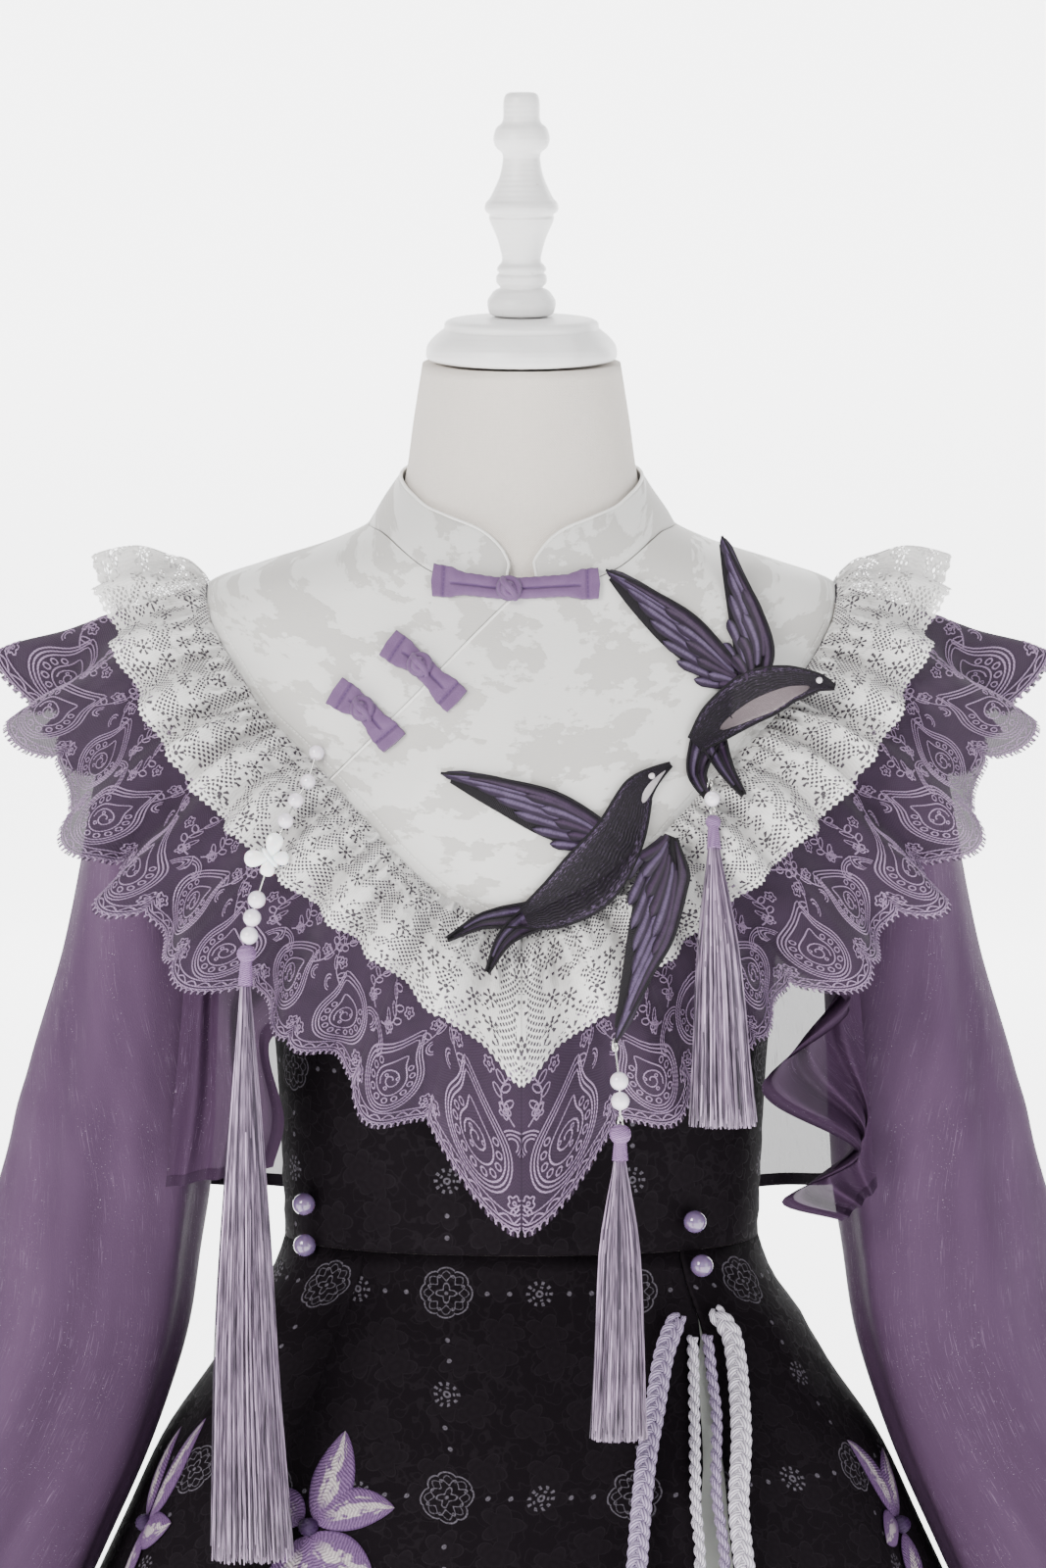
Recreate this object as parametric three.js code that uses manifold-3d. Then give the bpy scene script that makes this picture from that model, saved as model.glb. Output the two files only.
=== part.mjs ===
// A lace-trimmed chiffon blouse over a black jacquard dress, worn on a limbless dress form.
// Millimetres. +Z is up, the front faces -Y, +X is the viewer's right.
// The origin is the middle of the round foot's underside.

import * as THREE from 'three';
import { mergeVertices } from 'three/addons/utils/BufferGeometryUtils.js';
import Module from 'manifold-3d';

const wasm = await Module();
wasm.setup();

// Driving dimensions
const TORSO_BOTTOM = 860;
const NECK_TOP = 1497;
const NECK_LEAN = 0.09;
const LEAN_START = 1440;
const WAIST = 1020;
const SKIRT_HEM = 480;
const SHOULDER_HALF = 165;
const YOKE_POINT = 1199;
const BACK_YOKE_POINT = 1262;
const GAP = 0.3;
const CLOTH = 1.2;
const SHEER = 1.0;

// How far the middle of each layer of cloth lies from the form's skin
const LAYER = { dress: 1.3, strap: 1.9, chiffon: 3, mauve: 5, white: 6.6, yoke: 5, trim: 8.2, patch: 9.9 };

const COLOUR = {
  linen: 0xd8d2cd,
  wood: 0xe4e2df,
  steel: 0xb9b9bc,
  black: 0x1a151a,
  pale: 0xdfe3dc,
  cream: 0xe4e1dc,
  chiffon: 0x8a7391,
  whiteLace: 0xebe8e4,
  mauveLace: 0x86688f,
  frog: 0x9b80b0,
  feather: 0x2b2030,
  silk: 0xa891b5,
  cord: 0xcbb9d8,
  pearl: 0xe9e0ee,
  bead: 0xb79cc4,
};

const group = new THREE.Group();

function add(name, geometry, colour, roughness = 0.85, metalness = 0) {
  const material = new THREE.MeshStandardMaterial({ color: colour, roughness, metalness });
  const mesh = new THREE.Mesh(geometry, material);
  mesh.name = name;
  group.add(mesh);
  return mesh;
}

// A table of named columns, its rows sorted by the first column
function table(names, rows) {
  const keys = names.split(' ');
  const named = rows.map((row) => Object.fromEntries(keys.map((name, place) => [name, row[place]])));
  return { key: keys[0], rows: named };
}

// A smooth value of one column of a table: a cubic through the rows without overshoot
function smooth(from, name, at) {
  const rows = from.rows;
  const last = rows.length - 1;
  const key = (place) => rows[place][from.key];
  const value = (place) => rows[place][name];
  const secant = (place) => (value(place + 1) - value(place)) / (key(place + 1) - key(place));
  const slope = (place) => {
    if (place === 0) return secant(0);
    if (place === last) return secant(last - 1);
    const before = secant(place - 1);
    const after = secant(place);
    return before * after <= 0 ? 0 : (2 * before * after) / (before + after);
  };
  let row = 0;
  while (row < last - 1 && at > key(row + 1)) row += 1;
  const width = key(row + 1) - key(row);
  const t = THREE.MathUtils.clamp((at - key(row)) / width, 0, 1);
  const t2 = t * t;
  const t3 = t2 * t;
  return value(row) * (2 * t3 - 3 * t2 + 1) + slope(row) * width * (t3 - 2 * t2 + t)
    + value(row + 1) * (3 * t2 - 2 * t3) + slope(row + 1) * width * (t3 - t2);
}

const vector = (x, y, z) => new THREE.Vector3(x, y, z);
const mix = THREE.MathUtils.lerp;
const steps = (count) => Array.from({ length: count + 1 }, (_, place) => place / count);

// A closed body from points and triangles, turned so that its faces point out
function solid(points, faces) {
  const cross = vector(0, 0, 0);
  let volume = 0;
  for (let place = 0; place < faces.length; place += 3) {
    const [a, b, c] = [points[faces[place]], points[faces[place + 1]], points[faces[place + 2]]];
    volume += a.dot(cross.crossVectors(b, c));
  }
  const turned = volume < 0 ? faces.slice().reverse() : faces;
  const geometry = new THREE.BufferGeometry();
  const places = points.flatMap((point) => [point.x, point.y, point.z]);
  geometry.setAttribute('position', new THREE.Float32BufferAttribute(places, 3));
  geometry.setIndex(turned);
  return geometry;
}

// A wall of cloth: the middle points in rows, moved half a thickness each way along the normal
function wall(grid, thickness, wraps = false) {
  const rows = grid.length;
  const columns = grid[0].length;
  const beside = (row, column) => {
    const place = wraps ? (column + columns) % columns : THREE.MathUtils.clamp(column, 0, columns - 1);
    return grid[THREE.MathUtils.clamp(row, 0, rows - 1)][place];
  };
  const points = [];
  for (const side of [0.5, -0.5]) {
    for (let row = 0; row < rows; row += 1) {
      for (let column = 0; column < columns; column += 1) {
        const along = beside(row, column + 1).clone().sub(beside(row, column - 1));
        const down = beside(row + 1, column).clone().sub(beside(row - 1, column));
        const normal = along.cross(down).normalize();
        points.push(grid[row][column].clone().addScaledVector(normal, side * thickness));
      }
    }
  }
  const faces = [];
  const outer = (row, column) => row * columns + (column % columns);
  const inner = (row, column) => rows * columns + outer(row, column);
  const quad = (a, b, c, d) => faces.push(a, b, c, a, c, d);
  const spans = wraps ? columns : columns - 1;
  const end = rows - 1;
  for (let column = 0; column < spans; column += 1) {
    const next = column + 1;
    for (let row = 0; row < end; row += 1) {
      quad(outer(row, column), outer(row, next), outer(row + 1, next), outer(row + 1, column));
      quad(inner(row, column), inner(row + 1, column), inner(row + 1, next), inner(row, next));
    }
    quad(outer(0, next), outer(0, column), inner(0, column), inner(0, next));
    quad(outer(end, column), outer(end, next), inner(end, next), inner(end, column));
  }
  if (!wraps) {
    const edge = columns - 1;
    for (let row = 0; row < end; row += 1) {
      quad(outer(row, 0), outer(row + 1, 0), inner(row + 1, 0), inner(row, 0));
      quad(outer(row + 1, edge), outer(row, edge), inner(row, edge), inner(row + 1, edge));
    }
  }
  return solid(points, faces);
}

// A full body through rings of equal count, closed by a fan at each end
function loft(rings) {
  const sides = rings[0].length;
  const points = rings.flat();
  const faces = [];
  for (let ring = 0; ring < rings.length - 1; ring += 1) {
    for (let side = 0; side < sides; side += 1) {
      const next = (side + 1) % sides;
      const low = ring * sides;
      const high = low + sides;
      faces.push(low + side, low + next, high + next, low + side, high + next, high + side);
    }
  }
  for (const [first, flip] of [[0, true], [(rings.length - 1) * sides, false]]) {
    const centre = vector(0, 0, 0);
    for (let side = 0; side < sides; side += 1) centre.addScaledVector(points[first + side], 1 / sides);
    points.push(centre);
    for (let side = 0; side < sides; side += 1) {
      const next = (side + 1) % sides;
      if (flip) faces.push(points.length - 1, first + next, first + side);
      else faces.push(points.length - 1, first + side, first + next);
    }
  }
  return solid(points, faces);
}

// Closed bodies that cross each other, joined into one
function joined(geometries) {
  const solids = geometries.map((geometry) => {
    const bare = geometry.clone();
    bare.deleteAttribute('normal');
    bare.deleteAttribute('uv');
    const merged = mergeVertices(bare, 1e-4);
    const vertProperties = new Float32Array(merged.attributes.position.array);
    const triVerts = new Uint32Array(merged.index.array);
    return new wasm.Manifold(new wasm.Mesh({ numProp: 3, vertProperties, triVerts }));
  });
  const whole = solids.reduce((sum, next) => sum.add(next)).getMesh();
  const geometry = new THREE.BufferGeometry();
  geometry.setAttribute('position', new THREE.BufferAttribute(whole.vertProperties, 3));
  geometry.setIndex(new THREE.BufferAttribute(whole.triVerts, 1));
  return geometry;
}

// A turned body: radius and height pairs spun round the Z axis, closed on the axis at both ends
function turned(profile, sides) {
  const closed = [[0, profile[0][1]], ...profile, [0, profile[profile.length - 1][1]]];
  const outline = closed.map(([radius, height]) => new THREE.Vector2(radius, height));
  const geometry = new THREE.LatheGeometry(outline, sides);
  return geometry.rotateX(Math.PI / 2);
}

// The form's skin
const TORSO = table('z half front back', [
  [860, 152, 96, 102],
  [910, 152, 96, 101],
  [960, 143, 91, 90],
  [1000, 130, 85, 78],
  [1020, 128, 84, 76],
  [1050, 129, 84, 74],
  [1110, 132, 92, 78],
  [1180, 138, 109, 88],
  [1235, 143, 118, 97],
  [1270, 147, 115, 102],
  [1300, 155, 106, 104],
  [1335, 170, 94, 102],
  [1358, 176, 84, 94],
  [1372, 165, 79, 86],
  [1384, 137, 76, 79],
  [1396, 101, 71, 72],
  [1406, 80, 65, 66],
  [1418, 68, 59, 61],
  [1436, 63, 54, 58],
  [1465, 59, 50, 55],
  [1497, 54, 48, 54],
]);
const BODY_POWER = 2.2;

// A point off the form's skin: fraction runs -1 to 1 across the width, side is -1 front or 1 back
function onBody(fraction, z, side, offset = 0) {
  const nudge = 0.5;
  const depthName = side < 0 ? 'front' : 'back';
  const half = smooth(TORSO, 'half', z);
  const depth = smooth(TORSO, depthName, z);
  const halfSlope = (smooth(TORSO, 'half', z + nudge) - smooth(TORSO, 'half', z - nudge)) / (2 * nudge);
  const depthSlope = (smooth(TORSO, depthName, z + nudge) - smooth(TORSO, depthName, z - nudge)) / (2 * nudge);
  const width = Math.min(1, Math.abs(fraction));
  const rest = Math.pow(Math.max(0, 1 - Math.pow(width, BODY_POWER)), 1 / BODY_POWER);
  const normal = vector(
    (Math.sign(fraction) * Math.pow(width, BODY_POWER - 1)) / half,
    (side * Math.pow(rest, BODY_POWER - 1)) / depth,
    (-Math.pow(width, BODY_POWER) * halfSlope) / half - (Math.pow(rest, BODY_POWER) * depthSlope) / depth,
  ).normalize();
  return vector(Math.sign(fraction) * width * half, side * depth * rest, z).addScaledVector(normal, offset);
}

// The same at a true distance across from the middle
function acrossBody(x, z, side, offset = 0) {
  return onBody(THREE.MathUtils.clamp(x / smooth(TORSO, 'half', z), -1, 1), z, side, offset);
}

// The same at an angle round the form: 0 is the middle front and a quarter turn is the +X side
function roundBody(angle, z, offset = 0) {
  const sine = Math.sin(angle);
  const fraction = Math.sign(sine) * Math.pow(Math.abs(sine), 2 / BODY_POWER);
  return onBody(fraction, z, Math.cos(angle) >= 0 ? -1 : 1, offset);
}

const leanAt = (z) => NECK_LEAN * THREE.MathUtils.smoothstep(z, LEAN_START, NECK_TOP);

// The bodice shares these heights with the form, so their facets stay parallel
const BODICE_TOP = 1300;
const BODICE_LEVELS = [WAIST + GAP, 1110, 1175, 1235, BODICE_TOP];
const BODY_SIDES = 24;

function torso() {
  const levels = [860, 905, 960, ...BODICE_LEVELS, 1338, 1358, 1372, 1384, 1396, 1406, 1418, 1436, 1465, NECK_TOP];
  return loft(levels.map((z) => steps(BODY_SIDES).slice(1).map((turn) => {
    const point = roundBody(turn * 2 * Math.PI, z);
    point.z += point.y * leanAt(z);
    return point;
  })));
}
add('torso', torso(), COLOUR.linen, 0.9);

// The turned cap and finial stand on the leaning neck
const FINIAL_SIDES = 10;
const NECK_CAP = [[52, 0], [52, 9], [48, 14], [43, 18], [42, 18.5], [42, 22], [38, 24], [20, 25]];
const FINIAL = [[17, 0], [18.6, 5], [18.6, 9], [15, 14], [11, 15.5], [13.8, 18], [13.8, 22], [12, 23.5], [13.6, 25],
  [13, 27], [10, 30], [13, 42], [18, 53], [17, 55], [20, 57], [20, 61], [17, 64], [11.5, 76], [9.6, 88],
  [14, 91], [15.6, 96], [14, 102], [9.8, 105], [10, 117], [8, 121]];
const capHeight = NECK_CAP[NECK_CAP.length - 1][1];
const neckTop = new THREE.Group();
neckTop.position.set(0, 0, NECK_TOP + GAP);
neckTop.rotation.x = Math.atan(NECK_LEAN);
group.add(neckTop);
neckTop.add(add('neck_cap', turned(NECK_CAP, 18), COLOUR.wood, 0.45));
const finial = add('finial', turned(FINIAL, FINIAL_SIDES), COLOUR.wood, 0.45);
finial.position.z = capHeight + GAP;
neckTop.add(finial);

// The foot and the pole that carry the form
const BASE = [[165, 0], [165, 10], [160, 16], [148, 20], [140, 26], [60, 32], [40, 42], [24, 52], [20, 70]];
const POLE_RADIUS = 12;
const baseTop = BASE[BASE.length - 1][1];
const poleLength = TORSO_BOTTOM - baseTop - 2 * GAP;
const pole = new THREE.CylinderGeometry(POLE_RADIUS, POLE_RADIUS, poleLength, 14).rotateX(Math.PI / 2);
add('base', turned(BASE, 16), COLOUR.wood, 0.5);
add('pole', pole, COLOUR.steel, 0.35, 0.8).position.z = baseTop + GAP + poleLength / 2;

// The dress: a fitted bodice on two straps over a flared skirt of panels
const SIDE_GAP = 0.002;

function bodicePanel(side) {
  const start = side < 0 ? -Math.PI / 2 : Math.PI / 2;
  return wall(BODICE_LEVELS.map((z) => steps(BODY_SIDES / 2).map((across) => (
    roundBody(start + mix(SIDE_GAP, Math.PI - SIDE_GAP, across), z, LAYER.dress)
  ))), CLOTH);
}
add('bodice_front', bodicePanel(-1), COLOUR.black, 0.7);
add('bodice_back', bodicePanel(1), COLOUR.black, 0.7);

const STRAP_MIDDLE = 109;
const STRAP_HALF = 10;

function strap(hand) {
  const over = (turn) => {
    const side = turn < 0.5 ? -1 : 1;
    const rise = 1 - Math.abs(turn - 0.5) * 2;
    return { side, level: 1 - (1 - rise) ** 2 };
  };
  return wall(steps(16).map((turn) => [-1, 1].map((edge) => {
    const x = STRAP_MIDDLE + edge * STRAP_HALF;
    const ridge = ridgeHeight(x);
    const { side, level } = over(turn);
    const z = mix(BODICE_TOP + 1.2, ridge, level);
    return acrossBody(hand * x, z, side, LAYER.strap);
  })), CLOTH);
}

// The height of the shoulder's ridge, where the form is as wide as x
function ridgeHeight(x) {
  let low = 1358;
  let high = 1436;
  for (let round = 0; round < 30; round += 1) {
    const middle = (low + high) / 2;
    if (smooth(TORSO, 'half', middle) > x) low = middle;
    else high = middle;
  }
  return (low + high) / 2;
}
add('strap_left', strap(-1), COLOUR.black, 0.7);
add('strap_right', strap(1), COLOUR.black, 0.7);

// The skirt: four flared panels with soft flutes, parted over the hip by a slit on the +X side
const SKIRT = table('z half front back', [
  [480, 362, 318, 326],
  [600, 322, 275, 282],
  [700, 285, 235, 242],
  [800, 243, 190, 198],
  [859, 217, 163, 171],
  [908, 195, 140, 148],
  [950, 167, 118, 125],
  [978, 151, 104, 108],
  [1000, 136, 92, 88],
  [1019.4, 129.3, 85.3, 77.3],
]);
const SKIRT_LEVELS = [1019.4, 985, 950, 905, 859, 770, 630, SKIRT_HEM];
const FLUTES = 12;
const FLUTE_DEPTH = 15;
const SLIT = table('z front side', [
  [480, 0.205, 0.42],
  [859, 0.4, 0.5],
  [960, 0.585, 0.625],
  [990, 0.677, 0.683],
  [1020, 0.677, 0.683],
]);
const SIDE_SEAM = 0.68;
const BACK_SEAM = 2.23;
const PANEL_GAP = 0.003;

function onSkirt(angle, z, fluted = 1, inset = 0) {
  const half = smooth(SKIRT, 'half', z) - inset;
  const depth = smooth(SKIRT, Math.cos(angle) >= 0 ? 'front' : 'back', z) - inset;
  const flare = THREE.MathUtils.clamp((WAIST - z) / (WAIST - SKIRT_HEM), 0, 1);
  const flute = fluted * FLUTE_DEPTH * flare ** 1.3 * Math.cos(FLUTES * angle + 0.5);
  const bend = (value) => Math.sign(value) * Math.abs(value) ** (2 / BODY_POWER);
  return vector(bend(Math.sin(angle)) * (half + flute), -bend(Math.cos(angle)) * (depth + flute), z);
}

function skirtPanel(from, to, count) {
  return wall(SKIRT_LEVELS.map((z) => steps(count).map((across) => (
    onSkirt(mix(from(z) + PANEL_GAP, to(z) - PANEL_GAP, across), z)
  ))), CLOTH);
}
const slitFront = (z) => smooth(SLIT, 'front', z);
const slitSide = (z) => smooth(SLIT, 'side', z);
add('skirt_front', skirtPanel(() => -SIDE_SEAM, slitFront, 9), COLOUR.black, 0.7);
add('skirt_right', skirtPanel(slitSide, () => BACK_SEAM, 12), COLOUR.black, 0.7);
add('skirt_left', skirtPanel(() => -BACK_SEAM, () => -SIDE_SEAM, 12), COLOUR.black, 0.7);
add('skirt_back', skirtPanel(() => BACK_SEAM, () => 2 * Math.PI - BACK_SEAM, 14), COLOUR.black, 0.7);

// The pale strip of underskirt that shows in the slit
const STRIP_INSET = table('z inset', [
  [480, 21],
  [859, 8],
  [950, 3.3],
  [1000, 1.6],
]);
const STRIP_LEVELS = [1000, ...SKIRT_LEVELS.slice(2, -1), SKIRT_HEM + 8];
const STRIP_LAP = 0.09;
add('underskirt', wall(STRIP_LEVELS.map((z) => steps(5).map((across) => (
  onSkirt(
    mix(slitFront(z) - STRIP_LAP, slitSide(z) + STRIP_LAP, across),
    z,
    0,
    smooth(STRIP_INSET, 'inset', z),
  )
))), SHEER), COLOUR.pale);

// The neckline: the height of the collar's seam at each angle round the neck
const NECKLINE = table('degrees base top', [
  [0, 1375, 1385],
  [4, 1376, 1395],
  [8, 1378, 1401.5],
  [15, 1382.5, 1407.5],
  [30, 1392, 1413.5],
  [45, 1399, 1419],
  [60, 1403, 1426],
  [90, 1406, 1436],
  [135, 1410, 1443],
  [180, 1413, 1446],
]);
const COLLAR_OPENING = 2.4;
const COLLAR_TOP_LAYER = 2.6;
const COLLAR_LIFT = 1.3;

function collar() {
  const columns = [0, 1.5, 5, 10, 18, 30, 45, 60, 75, 90, 112, 135, 157].map((turn) => turn + COLLAR_OPENING);
  const around = [...columns, 180, ...columns.map((turn) => 360 - turn).reverse()];
  return wall(steps(2).map((rise) => around.map((turn) => {
    const degrees = turn > 180 ? 360 - turn : turn;
    const angle = THREE.MathUtils.degToRad(turn);
    const base = smooth(NECKLINE, 'base', degrees) + COLLAR_LIFT;
    const top = smooth(NECKLINE, 'top', degrees);
    const low = roundBody(angle, base, LAYER.yoke);
    const high = roundBody(angle, top, COLLAR_TOP_LAYER);
    return low.lerp(high, rise);
  })), CLOTH);
}
add('collar', collar(), COLOUR.cream);

// The yoke's seams, from the shoulder's ridge to the middle front and the middle back
const FRONT_SEAM = table('row x z', [
  [0, SHOULDER_HALF, 1371.8],
  [1, 164, 1366],
  [2, 157, 1351],
  [3, 145, 1331],
  [4, 132, 1311],
  [5, 115, 1294],
  [6, 99, 1278],
  [7, 82, 1260],
  [8, 63, 1239],
  [9, 41, 1220],
  [10, 0, YOKE_POINT],
]);
const BACK_SEAM_LINE = table('row x z', [
  [0, SHOULDER_HALF, 1371.8],
  [1, 164, 1364],
  [2, 156, 1345],
  [3, 138, 1322],
  [4, 112, 1301],
  [5, 82, 1283],
  [6, 45, 1268],
  [7, 0, BACK_YOKE_POINT],
]);
const SEAM_SHIFT = 0.2;

// Every layer stands a little higher towards the shoulder's tip
const TIP_LIFT = 2.5;
const tipLift = (x) => TIP_LIFT * (Math.abs(x) / SHOULDER_HALF) ** 8;

// A path through points that is read by true length
function measured(points) {
  const lengths = [0];
  for (let place = 1; place < points.length; place += 1) {
    lengths.push(lengths[place - 1] + points[place].distanceTo(points[place - 1]));
  }
  const whole = lengths[lengths.length - 1];
  return (share) => {
    const wanted = THREE.MathUtils.clamp(share, 0, 1) * whole;
    let place = 1;
    while (place < lengths.length - 1 && lengths[place] < wanted) place += 1;
    const part = (wanted - lengths[place - 1]) / (lengths[place] - lengths[place - 1]);
    return points[place - 1].clone().lerp(points[place], part);
  };
}

function seamLine(seam, side, layer) {
  const last = seam.rows.length - 1;
  return measured(steps(120).map((share) => {
    const row = share * last;
    const x = smooth(seam, 'x', row);
    const point = acrossBody(x, smooth(seam, 'z', row), side, layer + tipLift(x));
    point.y = side < 0 ? Math.min(point.y, 0) : Math.max(point.y, 0);
    return point;
  }));
}

// A yoke panel: straight columns in front view from its upper edge to the seam, laid on the form
const YOKE_ROWS = 6;
const RIDGE_CROWDING = 3;

function yokePanel(upper, lower, side, count) {
  const upperLine = measured(upper);
  const lowerPoints = lower.flatMap(({ points, share }, part) => {
    const line = measured(points);
    const spans = Math.round(count * share);
    return steps(spans).slice(part === 0 ? 0 : 1).map(line);
  });
  const columns = lowerPoints.length - 1;
  const falls = lowerPoints.map((low, column) => {
    const high = upperLine(column / columns);
    return measured(steps(80).map((fall) => {
      const share = fall ** RIDGE_CROWDING;
      const x = mix(high.x, low.x, share);
      const layer = LAYER.yoke + tipLift(x);
      const point = acrossBody(x, mix(high.z, low.z, share), side, layer);
      point.y += side * SEAM_SHIFT;
      return point;
    }));
  });
  return wall(steps(YOKE_ROWS).map((share) => falls.map((fall) => fall(share))), CLOTH);
}

const flat = (x, z) => vector(x, 0, z);
const seamView = (seam, hand) => steps(40).map((share) => {
  const row = share * (seam.rows.length - 1);
  return flat(hand * smooth(seam, 'x', row), smooth(seam, 'z', row));
});

// The collar's seam from one angle to another, then along the shoulder's ridge to its tip
function upperEdge(hand, from, to, withRidge) {
  const neck = steps(12).map((share) => {
    const degrees = mix(from, to, share);
    const base = smooth(NECKLINE, 'base', degrees) - GAP;
    return flat(hand * roundBody(THREE.MathUtils.degToRad(degrees), base).x, base);
  });
  const neckEnd = neck[neck.length - 1];
  const ridge = withRidge ? steps(8).slice(1).map((share) => {
    const x = mix(Math.abs(neckEnd.x), SHOULDER_HALF, share);
    return flat(hand * x, ridgeHeight(x));
  }) : [];
  return [...neck, ...ridge];
}

// The right front laps over the left along a diagonal edge
const PLACKET_TOP = flat(-2, NECKLINE.rows[0].base - GAP);
const PLACKET_ROW = 6.05;
const placketFoot = flat(-smooth(FRONT_SEAM, 'x', PLACKET_ROW), smooth(FRONT_SEAM, 'z', PLACKET_ROW));
const PLACKET_GAP = 0.5;

function yokeRight() {
  const seam = seamView(FRONT_SEAM, -1).filter((point) => point.x > placketFoot.x + 2);
  const lower = [
    { points: [placketFoot, ...seam], share: 0.34 },
    { points: seamView(FRONT_SEAM, 1).reverse(), share: 0.66 },
  ];
  return yokePanel([PLACKET_TOP, ...upperEdge(1, 0, 90, true)], lower, -1, 17);
}

function yokeLeft() {
  const shift = vector(-PLACKET_GAP, 0, PLACKET_GAP);
  const foot = placketFoot.clone().add(shift);
  const seam = seamView(FRONT_SEAM, -1).reverse().filter((point) => point.x < foot.x - 2);
  const top = PLACKET_TOP.clone().add(shift);
  const neck = upperEdge(-1, 0, 90, true).filter((point) => point.x < top.x - 1);
  return yokePanel([top, ...neck], [{ points: [foot, ...seam], share: 1 }], -1, 10);
}
add('yoke_right', yokeRight(), COLOUR.cream);
add('yoke_left', yokeLeft(), COLOUR.cream);

function yokeBack() {
  const left = upperEdge(-1, 180, 90, true).reverse();
  const lower = [
    { points: seamView(BACK_SEAM_LINE, -1), share: 0.5 },
    { points: seamView(BACK_SEAM_LINE, 1).reverse(), share: 0.5 },
  ];
  return yokePanel([...left, ...upperEdge(1, 180, 90, true).slice(1)], lower, 1, 18);
}
add('yoke_back', yokeBack(), COLOUR.cream);

// A gathered ruffle: sewn flat along the yoke's seam, its free edge carried out to the hem's line.
// Each hem table gives the middle of the hem by its share of the seam, from the shoulder inwards.
const WHITE_FRONT_HEM = table('share x y z', [
  [0, 231, 0, 1377],
  [0.12, 223, -40, 1355],
  [0.25, 207, -70, 1318],
  [0.4, 181, -98, 1277],
  [0.55, 148, -117, 1243],
  [0.7, 110, -126, 1211],
  [0.85, 66, -138, 1174],
  [1, 0, -146, 1119],
]);
const MAUVE_FRONT_HEM = table('share x y z', [
  [0, 275, 0, 1325],
  [0.12, 263, -47, 1299],
  [0.25, 244, -74, 1262],
  [0.4, 217, -91, 1215],
  [0.55, 178, -104, 1178],
  [0.7, 128, -114, 1150],
  [0.82, 89, -120, 1118],
  [0.92, 48, -126, 1082],
  [1, 0, -130, 1044],
]);
const WHITE_BACK_HEM = table('share x y z', [
  [0, 231, 0, 1377],
  [0.25, 205, 78, 1324],
  [0.5, 156, 110, 1268],
  [0.75, 84, 134, 1226],
  [1, 0, 142, 1208],
]);
const MAUVE_BACK_HEM = table('share x y z', [
  [0, 275, 0, 1325],
  [0.25, 243, 76, 1268],
  [0.5, 184, 108, 1206],
  [0.75, 98, 129, 1164],
  [1, 0, 137, 1150],
]);
const WHITE = {
  layer: LAYER.white,
  swell: 7,
  wave: 7.5,
  rise: 1,
  scallop: 0.05,
  frontWaves: 11,
  backWaves: 7,
  colour: COLOUR.whiteLace,
};
const MAUVE = {
  layer: LAYER.mauve,
  swell: 5,
  wave: 11,
  rise: 1.6,
  scallop: 0.07,
  frontWaves: 7,
  backWaves: 5,
  colour: COLOUR.mauveLace,
};
const WAVE_SAMPLES = 5;
const SEAM_CLEARANCE = 1.1;
const MIDDLE_SHIFT = 0.9;

// One point of a ruffle: share runs along the seam and reach from the seam to the hem
function rufflePoint(kind, seam, hem, waves, share, reach) {
  const start = seam(share);
  const tangent = seam(share + 0.01).sub(seam(share - 0.01)).normalize();
  const end = vector(smooth(hem, 'x', share), smooth(hem, 'y', share), smooth(hem, 'z', share));
  const fall = end.sub(start);
  const normal = tangent.cross(fall).normalize();
  if (normal.dot(vector(start.x * 0.3, start.y, 60)) < 0) normal.negate();
  normal.x *= 1 - share ** 6;
  normal.normalize();
  const uneven = 1 + 0.22 * Math.sin(share * 21 + 1) + 0.12 * Math.sin(share * 47);
  const turn = 2 * Math.PI * (waves * share + 0.12 * Math.sin(share * 16));
  const swing = kind.wave * uneven * Math.cos(turn) * reach ** kind.rise;
  const lift = kind.swell * Math.sin(Math.PI * reach) + swing;
  const length = SEAM_CLEARANCE / fall.length() + reach * (1 + kind.scallop * Math.cos(turn));
  return start.addScaledVector(fall, length).addScaledVector(normal, lift);
}

function ruffle(kind, seam, hem, waves, rows, shift) {
  const grid = steps(rows).map((reach) => steps(waves * WAVE_SAMPLES).map((share) => (
    rufflePoint(kind, seam, hem, waves, share, reach).add(shift)
  )));
  return wall(grid, SHEER);
}

const mirrored = (geometry) => {
  const points = geometry.attributes.position;
  const places = steps(points.count - 1).map((_, place) => (
    vector(-points.getX(place), points.getY(place), points.getZ(place))
  ));
  return solid(places, Array.from(geometry.index.array));
};

function ruffleNodes(name, kind, frontHem, backHem, rows) {
  const front = seamLine(FRONT_SEAM, -1, kind.layer);
  const back = seamLine(BACK_SEAM_LINE, 1, kind.layer);
  const frontShift = vector(MIDDLE_SHIFT, -SEAM_SHIFT, 0);
  const right = ruffle(kind, front, frontHem, kind.frontWaves, rows, frontShift);
  add(`${name}_right`, right, kind.colour);
  add(`${name}_left`, mirrored(right), kind.colour);
  const half = (hand) => (share, reach) => {
    const point = rufflePoint(kind, back, backHem, kind.backWaves, share, reach).add(vector(0, SEAM_SHIFT, 0));
    point.x *= hand;
    return point;
  };
  const count = kind.backWaves * WAVE_SAMPLES;
  const grid = steps(rows).map((reach) => [
    ...steps(count).map((share) => half(-1)(share, reach)),
    ...steps(count).slice(0, -1).reverse().map((share) => half(1)(share, reach)),
  ]);
  add(`${name}_back`, wall(grid, SHEER), kind.colour);
}
ruffleNodes('white_ruffle', WHITE, WHITE_FRONT_HEM, WHITE_BACK_HEM, 2);
ruffleNodes('mauve_ruffle', MAUVE, MAUVE_FRONT_HEM, MAUVE_BACK_HEM, 3);

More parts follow.
